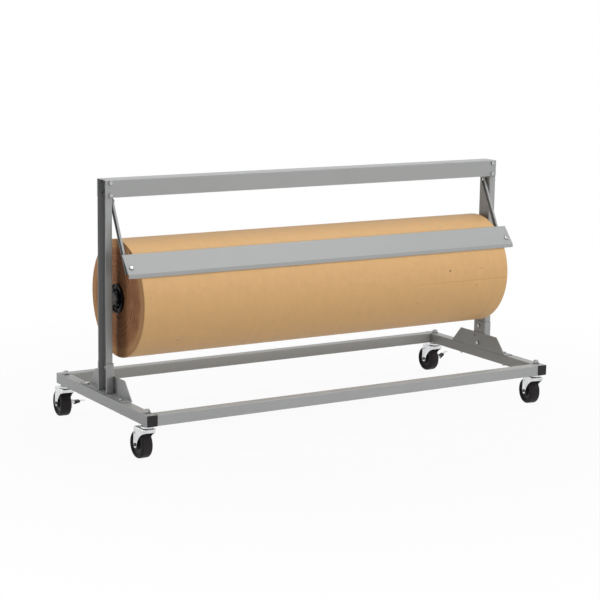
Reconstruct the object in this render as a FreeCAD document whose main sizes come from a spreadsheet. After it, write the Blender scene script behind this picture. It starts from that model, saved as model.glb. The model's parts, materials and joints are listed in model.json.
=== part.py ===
import FreeCAD, Part
import os
import re

import Sketcher

# A mobile floor stand for a jumbo roll of wrapping paper, with a swinging cutter bar.
# X runs along the roll, Y to the back, Z up. The origin is on the floor under the middle
# of the base frame. Lengths are millimetres and angles are degrees.

SIZES = [
    # paper roll and what turns with it
    ("paper_width", 1524, "length of the paper roll"),
    ("roll_diameter", 409, "outside of the paper roll"),
    ("core_bore", 76.2, "bore of the cardboard core"),
    ("core_wall", 9.9, "thickness of the cardboard core"),
    ("plug_flange_diameter", 102, "flange of a core plug"),
    ("plug_flange", 8, "thickness of the plug flange at its rim"),
    ("plug_rim", 4, "raised rim of the plug flange"),
    ("plug_dish", 5, "depth of the flange inside its rim"),
    ("plug_depth", 48, "how far a core plug goes into the core"),
    ("plug_wall", 3, "wall, web and ribs of a core plug"),
    ("plug_recess", 20, "depth of the plug web behind the flange face"),
    ("plug_rib_setback", 3, "ribs and hub ring behind the flange face"),
    ("plug_ribs", 8, "ribs in a core plug"),
    ("plug_hub_diameter", 50, "hub ring of a core plug"),
    ("plug_seat", 5, "seat of the shaft collar below the hub ring"),
    ("plug_fit", 0.1, "radial clearance of the plug in the core and on the shaft"),
    ("shaft_diameter", 25.4, "steel roll shaft"),
    ("shaft_end_gap", 1.4, "shaft end to the saddle plate"),
    ("collar_diameter", 40, "shaft collar"),
    ("collar_width", 11, "length of a shaft collar"),
    ("set_screw_diameter", 5, "set screw of a collar"),
    ("set_screw_setback", 3.5, "set screw behind the free face of its collar"),
    ("set_screw_sunk", 0.6, "set screw below the outside of its collar"),
    ("set_screw_socket", 2.5, "hexagonal socket of a set screw across the flats"),
    # base frame
    ("roll_end_gap", 33.4, "paper roll end to the inside of a post"),
    ("rail_outset", 37.6, "outer side of a side rail beyond the inside of the post"),
    ("base_depth", 725, "base frame front to back over its end caps"),
    ("tube_side", 38.1, "square tube of the base"),
    ("tube_wall", 2, "wall of the square tube"),
    ("tube_corner", 3, "outside corner radius of the square tube"),
    ("cap_flange", 2, "thickness of an end cap outside the tube"),
    ("cap_plug", 16, "length of an end cap inside the tube"),
    ("cap_wall", 2, "wall of the plug of an end cap"),
    ("cap_fit", 0.2, "clearance of an end cap in its tube"),
    ("cap_rounding", 0.8, "rounded edge of an end cap"),
    # mast
    ("mast_offset", 4, "plane of the posts behind the middle of the base"),
    ("mast_rise", 736.3, "top of the crossbar above the rails"),
    ("post_depth", 63.5, "post channel, front to back"),
    ("post_width", 25.4, "post channel, along the roll"),
    ("post_wall", 3, "wall of the post channel"),
    ("bend_radius", 1.5, "inside radius of the bends in posts, sleeves and crossbar"),
    ("post_top_gap", 0.3, "top of a post to the bends inside the crossbar"),
    ("foot_gap", 0.2, "foot of a post and its sleeve above the bend of the gusset bracket"),
    ("sleeve_wall", 3, "wall of a post sleeve"),
    ("sleeve_width", 28.5, "post sleeve, along the roll"),
    ("sleeve_height", 102, "height of a post sleeve"),
    ("sleeve_fit", 0.1, "clearance between a sleeve and its post"),
    ("gusset_wall", 3, "wall of a gusset bracket"),
    ("gusset_base", 340, "length of a gusset bracket at the rail"),
    ("gusset_top", 226, "length of a gusset bracket at its top"),
    ("gusset_rise", 61.9, "height of a gusset bracket"),
    ("gusset_flange", 35.6, "foot flange of a gusset bracket, along the roll"),
    ("gusset_corner", 8, "rounded top corners of a gusset bracket"),
    ("gusset_bolt_spacing", 270, "between the two bolts through a gusset foot"),
    ("gusset_hole_diameter", 8, "spare hole in a gusset bracket"),
    ("gusset_hole_back", 21, "spare hole behind the post centre"),
    ("gusset_hole_rise", 47.9, "spare hole above the rail"),
    ("foot_bolt_rise", 20.9, "lower post bolt above the rail"),
    ("sleeve_bolt_rise", 88.5, "upper post bolt above the rail"),
    ("crossbar_height", 60.2, "crossbar channel, top to bottom"),
    ("crossbar_wall", 2, "wall of the crossbar channel"),
    ("crossbar_fit", 0.125, "clearance between the crossbar and a post"),
    ("crossbar_bolt_inset", 7.6, "crossbar bolts from the inside of a post"),
    ("crossbar_bolt_top", 9.5, "upper crossbar bolt below the crossbar top"),
    ("crossbar_bolt_spacing", 42, "between the two crossbar bolts"),
    # saddles that carry the shaft
    ("axis_rise", 324.9, "roll axis above the rails"),
    ("saddle_wall", 3, "plate of a shaft saddle"),
    ("saddle_width", 46, "width of a saddle plate"),
    ("saddle_height", 116, "height of a saddle plate"),
    ("saddle_block", 12, "thickness of the cradle"),
    ("cradle_wall", 9, "cradle around the shaft"),
    ("cradle_rise", 16, "top of the cradle above the roll axis"),
    ("saddle_bolt_spacing", 92, "between the two bolts of a saddle"),
    ("running_fit", 0.06, "radial clearance of a part that turns on a pin"),
    # cutter
    ("pivot_drop", 14.7, "cutter pivot below the crossbar"),
    ("pivot_forward", 4, "cutter pivot in front of the post centre"),
    ("left_gap", 12.9, "left post to the web of the left arm"),
    ("right_gap", 6.4, "right post to the web of the right arm"),
    ("pivot_play", 0.35, "sideways clearance of an arm on its pivot"),
    ("spacer_diameter", 11, "pivot spacer"),
    ("arm_width", 8.5, "arm channel, along the roll"),
    ("arm_depth", 17, "arm channel, front to back"),
    ("arm_wall", 2, "wall of the arm channel"),
    ("arm_corner", 2.4, "outside radius of the bends of an arm"),
    ("arm_length", 261, "arm below the pivot"),
    ("arm_head", 8, "arm above the pivot"),
    ("bracket_wall", 2.5, "bracket between an arm and the bar"),
    ("bracket_height", 44, "bracket along the bar face"),
    ("bracket_start", 8, "lower edge of a bracket above the bend of the bar"),
    ("bracket_lap", 38, "web of a bracket along its arm"),
    ("bracket_inset", 2, "web of a bracket inside the back edge of its arm"),
    ("bracket_tab", 19.5, "tab of a bracket behind the bar, past the arm"),
    ("bar_wall", 1.5, "sheet of the cutter bar"),
    ("bar_bend", 0.8, "inside radius of the bend of the bar"),
    ("face_height", 79.2, "wide face of the cutter bar"),
    ("lip_height", 13.3, "lip under the wide face"),
    ("face_lean", 12.8, "wide face leans back from the line of the arms"),
    ("lip_lean", 20.6, "lip leans forward from the line of the arms"),
    ("bar_left_overhang", 27.25, "bar past the left arm"),
    ("bar_right_overhang", 9.25, "bar past the right arm"),
    ("bar_bolt_rise", 26, "bar bolts above the bend of the bar"),
    ("bar_bolt_side", 9, "bar bolts beside the web of an arm"),
    ("blade_wall", 0.8, "cutter blade"),
    ("blade_height", 10, "cutter blade, tip to back"),
    ("blade_proud", 1, "blade teeth below the lip"),
    ("blade_margin", 6, "blade ends inside the bar ends"),
    ("tooth_pitch", 6.35, "teeth of the blade"),
    ("tooth_depth", 3, "depth of the teeth"),
    ("tip_reach", 46.1, "blade tip in front of the line of the arms"),
    ("tip_drop", 294.1, "blade tip below the pivot, along the arms"),
    ("blade_gap", 0.5, "blade tip to the paper at rest"),
    ("rivet_diameter", 4, "rivets of the cutter"),
    ("rivet_head_diameter", 7, "head of a rivet"),
    ("rivet_head", 1, "height of a rivet head"),
    ("rivet_spacing", 22, "between the two rivets of an arm bracket"),
    ("rivet_margin", 8, "lower rivet above the foot of an arm"),
    # fasteners
    ("bolt_diameter", 8, "frame bolts"),
    ("bolt_head_width", 13, "frame bolt heads and nuts across the flats"),
    ("bolt_head", 5.3, "height of a frame bolt head"),
    ("nut_height", 6.8, "frame nuts"),
    ("bolt_tail", 2, "bolt end beyond its nut"),
    ("small_diameter", 6, "saddle, pivot and bar bolts"),
    ("small_head_width", 10, "small bolt heads and nuts across the flats"),
    ("small_head", 4, "height of a small bolt head"),
    ("small_nut_height", 5.2, "small nuts"),
    ("dome_diameter", 16, "domed head of a bar bolt"),
    ("dome_height", 5, "height of the domed head"),
    ("dome_edge", 4, "rounding of the domed head"),
    ("hole_play", 0.5, "extra diameter of a bolt hole"),
    ("hex_chamfer", 30, "slope of the turned corners of bolt heads and nuts"),
    # casters
    ("wheel_diameter", 95.2, "caster wheel"),
    ("wheel_width", 41, "tread of the wheel"),
    ("tread_rounding", 8, "rounded edges of the tread"),
    ("groove_inner", 34, "inner diameter of the side groove of a wheel"),
    ("groove_outer", 66, "outer diameter of the side groove of a wheel"),
    ("groove_depth", 5, "depth of the side groove"),
    ("groove_slope", 1, "slope of the walls of that groove, across"),
    ("hub_width", 42, "wheel hub between the fork legs"),
    ("hub_diameter", 27, "wheel hub"),
    ("sleeve_diameter", 12, "steel sleeve in the wheel bore"),
    ("axle_drop", 74.4, "wheel axle below the rails"),
    ("axle_trail", 40, "wheel axle behind the swivel axis"),
    ("caster_inset", 40, "swivel axis from the end of the base"),
    ("front_left_turn", 1, "rest angle of the front left caster"),
    ("front_right_turn", -9, "rest angle of the front right caster"),
    ("rear_left_turn", -4, "rest angle of the rear left caster"),
    ("rear_right_turn", -1, "rest angle of the rear right caster"),
    ("crown_drop", 12.5, "top of a fork below the rails"),
    ("fork_wall", 3, "sheet of a fork"),
    ("fork_inside", 43, "between the legs of a fork"),
    ("fork_front", 20, "front edge of a fork from the swivel axis"),
    ("fork_nose", 12.5, "height of the front wall of a fork"),
    ("fork_nose_radius", 8, "rounded front corners of a fork"),
    ("fork_back", 8, "back edge of the crown behind the axle"),
    ("fork_corner", 3, "rounded long edges of a fork"),
    ("leg_radius", 11, "rounded end of a fork leg"),
    ("throat_radius", 77.2, "hollow front edge of a fork leg"),
    ("throat_forward", 84.2, "centre of that hollow in front of the axle"),
    ("throat_below", 24.6, "centre of that hollow below the axle"),
    ("leg_hole_width", 4.5, "oval hole in a fork leg"),
    ("leg_hole_length", 9, "oval hole in a fork leg, end to end"),
    ("leg_hole_rise", 40.6, "oval hole above the axle"),
    ("axle_diameter", 6, "wheel axle bolt"),
    ("stem_diameter", 12.7, "threaded stem of a caster"),
    ("stem_rise", 14.2, "stem end above the rail top"),
    ("stem_fit", 0.3, "extra diameter of the stem holes"),
    ("stem_nut_width", 19, "stem nut across the flats"),
    ("stem_nut_height", 7.5, "hexagon of a stem nut"),
    ("stem_lock_diameter", 16.6, "locking ring on a stem nut"),
    ("stem_lock_height", 3, "height of that ring"),
    ("washer_diameter", 27, "washer under a stem nut"),
    ("washer_height", 2.5, "thickness of that washer"),
    ("hex_collar_width", 24, "hexagonal collar of a stem across the flats"),
    ("hex_collar_height", 4.5, "hexagonal collar of a stem"),
    ("race_diameter", 41, "ball race cap under the collar"),
    ("race_wall", 2, "sheet of the race cap"),
    ("race_skirt", 6, "height of the race cap"),
    ("neck_diameter", 12, "neck of the stem in the crown"),
    ("swivel_play", 0.4, "clearance of what swivels"),
    ("rivet_flange_diameter", 20, "head of the stem under the crown"),
    ("rivet_flange", 3, "height of that head"),
    ("ball_circle", 26, "ball circle of the swivel"),
    ("ball_count", 10, "balls in one swivel"),
    # brakes of the rear casters
    ("brake_side", 29, "brake pin beside the wheel middle"),
    ("brake_forward", 23, "brake lever in front of the axle"),
    ("brake_rise", 6, "brake pin above the axle"),
    ("brake_pin_diameter", 4, "brake pin"),
    ("ear_gap", 18, "between the ears that hold the brake pin"),
    ("ear_wall", 2, "ears of the brake"),
    ("ear_height", 10, "height and reach of an ear"),
    ("lug_front", 13, "lug of the fork leg in front of the brake pin"),
    ("lug_top", 10, "lug above the brake pin"),
    ("lug_bottom", 19, "lug below the brake pin"),
    ("window_width", 10, "window for the brake toe"),
    ("window_top", 1.5, "top of the window below the brake pin"),
    ("window_height", 14.5, "height of the window"),
    ("lever_wall", 2.5, "sheet of the brake lever"),
    ("lever_width", 13, "width of the brake lever"),
    ("lever_length", 48, "brake lever from its pin"),
    ("knuckle_diameter", 8, "knuckle of the lever round its pin"),
    ("toe_width", 7, "toe that presses on the wheel"),
    ("toe_root_above", 1, "root of the toe below the middle of the lever, upper side"),
    ("toe_root_below", 3, "root of the toe below the middle of the lever, lower side"),
    ("toe_root_out", 2, "lower side of that root past the pin"),
    ("toe_reach", 12.8, "toe towards the wheel"),
    ("toe_drop", 9, "toe below the pin"),
    ("pad_start", 5, "pad of the lever from the pin"),
    ("pad_length", 22, "pad of the lever"),
    ("pad_above", 3, "pad above the lever, near the pin"),
    ("pad_below", 9.5, "pad below the lever, near the pin"),
    ("pad_end_above", 3, "pad above the lever, at its far end"),
    ("pad_end_below", 5, "pad below the lever, at its far end"),
    ("pad_wall", 2, "pad beside the lever"),
    ("left_brake_lift", 1, "rest angle of the left brake lever, pressed"),
    ("right_brake_lift", 26, "rest angle of the right brake lever, released"),
]
ALIASES = {alias for alias, value, meaning in SIZES}

doc = FreeCAD.newDocument("paper_roll_cutter_stand")
sheet = doc.addObject("Spreadsheet::Sheet", "Sizes")
for row, (alias, value, meaning) in enumerate(SIZES, 1):
    sheet.set(f"A{row}", alias)
    sheet.set(f"B{row}", str(value))
    sheet.set(f"C{row}", meaning)
    sheet.setAlias(f"B{row}", alias)
doc.recompute()

NODES = []
NEAR = 0.01  # mm: closer than this is the same place
OVERLAP = 1  # mm: a cut or rib that runs past a face


# --- small tools -----------------------------------------------------------------------


def formula(text):
    """An expression for the document: every size by its name in the sheet."""
    return re.sub(r"[a-z_]+", lambda word: "Sizes." + word[0] if word[0] in ALIASES else word[0], str(text))


def number(text):
    """The present value of an expression."""
    result = sheet.evalExpression(formula(text))
    return float(getattr(result, "Value", result))


def bind(thing, prop, text):
    thing.setExpression(prop, formula(text))


def place(thing, x="0", y="0", z="0", axis=(0, 0, 1), angle="0"):
    """Bind where a thing stands, and how far it is turned about one axis."""
    turn = FreeCAD.Rotation(FreeCAD.Vector(*axis), 1)
    thing.Placement = FreeCAD.Placement(FreeCAD.Vector(), turn)
    bind(thing, "Placement.Base.x", x)
    bind(thing, "Placement.Base.y", y)
    bind(thing, "Placement.Base.z", z)
    bind(thing, "Placement.Rotation.Angle", angle)


def node(thing, label):
    """Mark an object as a sub-part that is written to a file of its own."""
    thing.Label = label
    NODES.append(thing)
    return thing


def new_body(label):
    body = doc.addObject("PartDesign::Body", label)
    body.Label = label
    return body


def outline(body, role, *loops):
    """A sketch on one of the body's origin planes.

    A list of points is a closed polygon, and a tuple (x, y, diameter) is a circle.
    """
    plane = [item for item in body.Origin.OriginFeatures if item.Role == role][0]
    sketch = body.newObject("Sketcher::SketchObject", "Outline")
    sketch.AttachmentSupport = (plane, [""])
    sketch.MapMode = "FlatFace"
    for loop in loops:
        if isinstance(loop, tuple):
            add_circle(sketch, loop)
        else:
            add_polygon(sketch, loop)
    return sketch


def fix(sketch, kind, *where, value):
    index = sketch.addConstraint(Sketcher.Constraint(kind, *where, number(value)))
    bind(sketch, f"Constraints[{index}]", value)


def add_circle(sketch, ring):
    x, y, diameter = ring
    centre = FreeCAD.Vector(number(x), number(y), 0)
    circle = Part.Circle(centre, FreeCAD.Vector(0, 0, 1), number(diameter) / 2)
    index = sketch.addGeometry(circle)
    fix(sketch, "DistanceX", index, 3, value=x)
    fix(sketch, "DistanceY", index, 3, value=y)
    fix(sketch, "Diameter", index, value=diameter)


def add_polygon(sketch, points):
    corners = [FreeCAD.Vector(number(x), number(y), 0) for x, y in points]
    first = len(sketch.Geometry)
    for index, corner in enumerate(corners):
        sketch.addGeometry(Part.LineSegment(corner, corners[(index + 1) % len(corners)]))
    for index in range(len(points)):
        following = first + (index + 1) % len(points)
        sketch.addConstraint(Sketcher.Constraint("Coincident", first + index, 2, following, 1))
    for index, (x, y) in enumerate(points):
        fix(sketch, "DistanceX", first + index, 1, value=x)
        fix(sketch, "DistanceY", first + index, 1, value=y)


def rectangle(x_low, y_low, x_high, y_high):
    return [(x_low, y_low), (x_high, y_low), (x_high, y_high), (x_low, y_high)]


def hexagon(width):
    across = f"({width}) / 2 / cos(30)"
    return [(f"{across} * cos({60 * k})", f"{across} * sin({60 * k})") for k in range(6)]


def pad(body, sketch, length, start=None):
    """Pad a sketch both ways from its plane, or from start along the plane's normal."""
    feature = body.newObject("PartDesign::Pad", "Pad")
    feature.Profile = sketch
    bind(feature, "Length", length)
    if start is None:
        feature.SideType = "Symmetric"
    else:
        bind(sketch, "AttachmentOffset.Base.z", start)
    sketch.Visibility = False
    doc.recompute()
    return feature


def check_cut(body, before):
    if body.Shape.Volume > before - NEAR:
        raise RuntimeError(f"{body.Label}: a cut took nothing away")


def cut(body, sketch, length=None, start=None):
    """Pocket a sketch right through, or over a length from start along the normal."""
    before = body.Shape.Volume
    feature = body.newObject("PartDesign::Pocket", "Pocket")
    feature.Profile = sketch
    if length is None:
        feature.Type = "ThroughAll"
        feature.SideType = "Symmetric"
    else:
        feature.Reversed = True
        bind(feature, "Length", length)
        bind(sketch, "AttachmentOffset.Base.z", start)
    doc.recompute()
    check_cut(body, before)
    return feature


def cut_slot(body, role, x, y, width, length):
    """An upright oval hole right through the body."""
    half = f"({length} - {width}) / 2"
    sides = rectangle(f"{x} - {width} / 2", f"{y} - {half}", f"{x} + {width} / 2", f"{y} + {half}")
    cut(body, outline(body, role, sides))
    cut(body, outline(body, role, (x, f"{y} - {half}", width), (x, f"{y} + {half}", width)))


def turn_profile(body, role, points, axis):
    """Revolve a polygon about one of its sketch axes, H_Axis or V_Axis."""
    sketch = outline(body, role, points)
    feature = body.newObject("PartDesign::Revolution", "Revolution")
    feature.Profile = sketch
    feature.ReferenceAxis = (sketch, [axis])
    feature.Angle = 360
    doc.recompute()
    return feature


def round_edges(body, radius, chosen):
    """Fillet the edges of the present shape for which chosen(edge) is true."""
    feature = body.Tip
    names = [f"Edge{i}" for i, edge in enumerate(feature.Shape.Edges, 1) if chosen(edge)]
    if not names:
        raise RuntimeError(f"{body.Label}: no edge to round")
    fillet = body.newObject("PartDesign::Fillet", "Rounding")
    fillet.Base = (feature, names)
    bind(fillet, "Radius", radius)
    doc.recompute()
    return fillet


def straight(direction, *spots):
    """Chooses straight edges along a direction, through given points across it."""
    axes = "XYZ".replace(direction, "")
    targets = [(number(a), number(b)) for a, b in spots]

    def chosen(edge):
        if len(edge.Vertexes) != 2 or edge.Curve.TypeId != "Part::GeomLine":
            return False
        run = edge.Vertexes[1].Point - edge.Vertexes[0].Point
        across = [getattr(run, axis.lower()) for axis in axes]
        if max(abs(value) for value in across) > NEAR:
            return False
        middle = edge.CenterOfMass
        here = [getattr(middle, axis.lower()) for axis in axes]
        return not targets or any(
            abs(here[0] - a) < NEAR and abs(here[1] - b) < NEAR for a, b in targets
        )

    return chosen


def group(label, spots):
    """One node that holds a linked copy of a piece at every spot.

    A spot is (piece, x, y, z, axis, angle).
    """
    copies = []
    for index, (piece, x, y, z, axis, angle) in enumerate(spots, 1):
        copy = doc.addObject("App::Link", f"{label}_{index}")
        copy.LinkedObject = piece
        place(copy, x, y, z, axis, angle)
        copies.append(copy)
    whole = doc.addObject("Part::Compound", label)
    whole.Links = copies
    return node(whole, label)


# --- places that several pieces share --------------------------------------------------

RAIL_BOTTOM = "(wheel_diameter / 2 + axle_drop)"
RAIL_TOP = f"({RAIL_BOTTOM} + tube_side)"
POST_FACE = "(paper_width / 2 + roll_end_gap)"
BASE_HALF = f"({POST_FACE} + rail_outset)"
RAIL_X = f"({BASE_HALF} - tube_side / 2)"
TUBE_END = "(base_depth / 2 - cap_flange)"
TUBE_INSIDE = "(tube_side - 2 * tube_wall)"
CASTER_Y = "(base_depth / 2 - caster_inset)"

GUSSET_FLANGE_TOP = f"({RAIL_TOP} + gusset_wall)"
POST_FOOT = f"({GUSSET_FLANGE_TOP} + bend_radius + foot_gap)"
MAST_TOP = f"({RAIL_TOP} + mast_rise)"
POST_TOP = f"({MAST_TOP} - crossbar_wall - bend_radius - post_top_gap)"
FOOT_BOLT_RISES = [f"({RAIL_TOP} + {rise} - {POST_FOOT})" for rise in ("foot_bolt_rise", "sleeve_bolt_rise")]
CROSSBAR_HALF_DEPTH = "(post_depth / 2 + crossbar_fit + crossbar_wall)"
CROSSBAR_BOLT_X = f"({POST_FACE} + crossbar_bolt_inset)"

AXIS_Z = f"({RAIL_TOP} + axis_rise)"
ROLL_END = "(paper_width / 2)"
SADDLE_FACE = f"({POST_FACE} - saddle_wall)"

PIVOT_Y = "(mast_offset - pivot_forward)"
PIVOT_Z = f"({MAST_TOP} - crossbar_height - pivot_drop)"
LEFT_ARM_X = f"(-{POST_FACE} + left_gap + arm_wall)"
RIGHT_ARM_X = f"({POST_FACE} - right_gap)"

CORNERS = [("left", -1), ("right", 1)]
ALONG_X = (0, 1, 0)
ALONG_Y = (1, 0, 0)


# --- fasteners -------------------------------------------------------------------------
# A bolt's head stands on z = 0, with its shank below. A nut or washer stands on z = 0.


def turn_corners(body, width, top):
    """Turn the corners of a hexagon off at its top face, as on a bolt head."""
    before = body.Shape.Volume
    slope = f"{width} / 2 * tan(hex_chamfer)"
    waste = [(f"{width} / 2", top), (width, top), (width, f"{top} - {slope}")]
    sketch = outline(body, "XZ_Plane", waste)
    feature = body.newObject("PartDesign::Groove", "Corners")
    feature.Profile = sketch
    feature.ReferenceAxis = (sketch, ["V_Axis"])
    feature.Angle = 360
    doc.recompute()
    check_cut(body, before)


def make_bolt(name, diameter, length, head_width, head_height):
    body = new_body(name)
    pad(body, outline(body, "XY_Plane", hexagon(head_width)), head_height, start="0")
    turn_corners(body, head_width, head_height)
    pad(body, outline(body, "XY_Plane", ("0", "0", diameter)), length, start=f"-({length})")
    return body


def make_domed_bolt(name, diameter, length):
    body = new_body(name)
    pad(body, outline(body, "XY_Plane", ("0", "0", "dome_diameter")), "dome_height", start="0")
    top = number("dome_height")
    round_edges(body, "dome_edge", lambda edge: abs(edge.CenterOfMass.z - top) < NEAR)
    pad(body, outline(body, "XY_Plane", ("0", "0", diameter)), length, start=f"-({length})")
    return body


def make_ring(name, inner, outer, height):
    body = new_body(name)
    pad(body, outline(body, "XY_Plane", ("0", "0", outer), ("0", "0", inner)), height, start="0")
    return body


def make_nut(name, inner, width, height):
    body = new_body(name)
    pad(body, outline(body, "XY_Plane", hexagon(width), ("0", "0", inner)), height, start="0")
    turn_corners(body, width, height)
    return body


FOOT_STACK = "(gusset_wall + sleeve_wall + post_wall)"
CROSSBAR_STACK = f"(2 * {CROSSBAR_HALF_DEPTH})"
GUSSET_STACK = "(gusset_wall + tube_side)"
NUT_AND_TAIL = "(nut_height + bolt_tail)"

foot_bolt = make_bolt(
    "foot_bolt", "bolt_diameter", f"{FOOT_STACK} + {NUT_AND_TAIL}", "bolt_head_width", "bolt_head"
)
crossbar_bolt = make_bolt(
    "crossbar_bolt", "bolt_diameter", f"{CROSSBAR_STACK} + {NUT_AND_TAIL}", "bolt_head_width", "bolt_head"
)
gusset_bolt = make_bolt(
    "gusset_bolt", "bolt_diameter", f"{GUSSET_STACK} + {NUT_AND_TAIL}", "bolt_head_width", "bolt_head"
)
frame_nut = make_nut("frame_nut", "bolt_diameter", "bolt_head_width", "nut_height")
small_nut = make_nut("small_nut", "small_diameter", "small_head_width", "small_nut_height")


# --- base frame ------------------------------------------------------------------------


def tube_profile(body, role):
    """A square tube with rounded corners along the normal of a plane: outline and bore."""
    half = "tube_side / 2"
    bore = f"{TUBE_INSIDE} / 2"
    return outline(
        body,
        role,
        rectangle(f"-{half}", f"-{half}", half, half),
        rectangle(f"-{bore}", f"-{bore}", bore, bore),
    )


def round_tube(body, direction):
    half = "tube_side / 2"
    bore = f"{TUBE_INSIDE} / 2"
    for size, radius in ((half, "tube_corner"), (bore, "tube_corner - tube_wall")):
        spots = [(f"{a}{size}", f"{b}{size}") for a in ("-", "") for b in ("-", "")]
        round_edges(body, radius, straight(direction, *spots))


def side_rail(side, sign):
    body = new_body(f"{side}_side_rail")
    pad(body, tube_profile(body, "XZ_Plane"), f"2 * {TUBE_END}")
    round_tube(body, "Y")
    stem = "stem_diameter + stem_fit"
    bolt = "bolt_diameter + hole_play"
    holes = [
        ("0", CASTER_Y, stem),
        ("0", f"-{CASTER_Y}", stem),
        ("0", "mast_offset + gusset_bolt_spacing / 2", bolt),
        ("0", "mast_offset - gusset_bolt_spacing / 2", bolt),
    ]
    cut(body, outline(body, "XY_Plane", *holes))
    place(body, f"{sign} * {RAIL_X}", "0", f"{RAIL_BOTTOM} + tube_side / 2")
    node(body, f"{side}_side_rail")


def cross_rail(name, sign):
    body = new_body(name)
    pad(body, tube_profile(body, "YZ_Plane"), f"2 * ({BASE_HALF} - tube_side)")
    round_tube(body, "X")
    place(body, "0", f"{sign} * ({TUBE_END} - tube_side / 2)", f"{RAIL_BOTTOM} + tube_side / 2")
    node(body, name)


def rail_end_caps():
    """Square plastic caps: a flange on z = 0 and a hollow plug below it."""
    cap = new_body("end_cap")
    half = "tube_side / 2"
    plug = f"({TUBE_INSIDE} / 2 - cap_fit)"
    inside = f"({plug} - cap_wall)"
    pad(cap, outline(cap, "XY_Plane", rectangle(f"-{half}", f"-{half}", half, half)), "cap_flange", start="0")
    sides = [(f"{a}{half}", f"{b}{half}") for a in ("-", "") for b in ("-", "")]
    round_edges(cap, "tube_corner", straight("Z", *sides))
    top = number("cap_flange")
    round_edges(cap, "cap_rounding", lambda edge: abs(edge.CenterOfMass.z - top) < NEAR)
    walls = outline(
        cap,
        "XY_Plane",
        rectangle(f"-{plug}", f"-{plug}", plug, plug),
        rectangle(f"-{inside}", f"-{inside}", inside, inside),
    )
    pad(cap, walls, "cap_plug", start="-cap_plug")
    plug_sides = [(f"{a}{plug}", f"{b}{plug}") for a in ("-", "") for b in ("-", "")]
    round_edges(cap, "cap_rounding", straight("Z", *plug_sides))
    middle = f"{RAIL_BOTTOM} + tube_side / 2"
    spots = []
    for side, sign in CORNERS:
        spots.append((cap, f"{sign} * {RAIL_X}", f"-{TUBE_END}", middle, ALONG_Y, "90"))
        spots.append((cap, f"{sign} * {RAIL_X}", TUBE_END, middle, ALONG_Y, "-90"))
    group("rail_end_caps", spots)


# --- mast ------------------------------------------------------------------------------
# Left and right pieces are mirror images: sign is -1 on the left and 1 on the right.


def gusset_bracket(side, sign):
    """A plate beside the post foot, with a flange on the rail that points outwards."""
    body = new_body(f"{side}_gusset_bracket")
    inner = f"{POST_FACE} - sleeve_wall - gusset_wall"
    trapezoid = [
        ("-gusset_base / 2", "0"),
        ("gusset_base / 2", "0"),
        ("gusset_top / 2", "gusset_rise"),
        ("-gusset_top / 2", "gusset_rise"),
    ]
    start = "0" if sign > 0 else "-gusset_wall"
    pad(body, outline(body, "YZ_Plane", trapezoid), "gusset_wall", start=start)
    corners = [("gusset_top / 2", "gusset_rise"), ("-gusset_top / 2", "gusset_rise")]
    round_edges(body, "gusset_corner", straight("X", *corners))
    reach = sorted(("0", f"{sign} * gusset_flange"), key=number)
    flange = rectangle(reach[0], "-gusset_base / 2", reach[1], "gusset_base / 2")
    pad(body, outline(body, "XY_Plane", flange), "gusset_wall", start="0")
    bend = f"{sign} * gusset_wall"
    round_edges(body, "gusset_wall + bend_radius", straight("Y", ("0", "0")))
    round_edges(body, "bend_radius", straight("Y", (bend, "gusset_wall")))
    plate_holes = [
        ("0", "foot_bolt_rise", "bolt_diameter + hole_play"),
        ("gusset_hole_back", "gusset_hole_rise", "gusset_hole_diameter"),
    ]
    cut(body, outline(body, "YZ_Plane", *plate_holes))
    bolt_x = f"{sign} * ({RAIL_X} - ({inner}))"
    flange_holes = [
        (bolt_x, f"{way} * gusset_bolt_spacing / 2", "bolt_diameter + hole_play") for way in (-1, 1)
    ]
    cut(body, outline(body, "XY_Plane", *flange_holes))
    place(body, f"{sign} * ({inner})", "mast_offset", RAIL_TOP)
    node(body, f"{side}_gusset_bracket")


def channel_profile(sign, wall, half_depth, width):
    """A channel seen along its length: the web on x = 0, open outwards."""
    inner = f"({half_depth} - {wall})"
    web = f"{sign} * ({wall})"
    tip = f"{sign} * ({width})"
    return [
        ("0", f"-{half_depth}"),
        (tip, f"-{half_depth}"),
        (tip, f"-{inner}"),
        (web, f"-{inner}"),
        (web, inner),
        (tip, inner),
        (tip, half_depth),
        ("0", half_depth),
    ]


def upright_channel(name, sign, wall, half_depth, width, height, bolt_rises):
    """An upright channel with holes through its web, standing on z = 0."""
    body = new_body(name)
    profile = channel_profile(sign, wall, half_depth, width)
    pad(body, outline(body, "XY_Plane", profile), height, start="0")
    round_edges(body, f"{wall} + bend_radius", straight("Z", ("0", half_depth), ("0", f"-{half_depth}")))
    inner = f"({half_depth} - {wall})"
    web = f"{sign} * ({wall})"
    round_edges(body, "bend_radius", straight("Z", (web, inner), (web, f"-{inner}")))
    holes = [(y, rise, f"{diameter} + hole_play") for y, rise, diameter in bolt_rises]
    cut(body, outline(body, "YZ_Plane", *holes))
    return body


def post_sleeve(side, sign):
    half_depth = "(post_depth / 2 + sleeve_fit + sleeve_wall)"
    rises = [("0", rise, "bolt_diameter") for rise in FOOT_BOLT_RISES]
    name = f"{side}_post_sleeve"
    body = upright_channel(name, sign, "sleeve_wall", half_depth, "sleeve_width", "sleeve_height", rises)
    place(body, f"{sign} * ({POST_FACE} - sleeve_wall)", "mast_offset", POST_FOOT)
    node(body, name)


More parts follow.
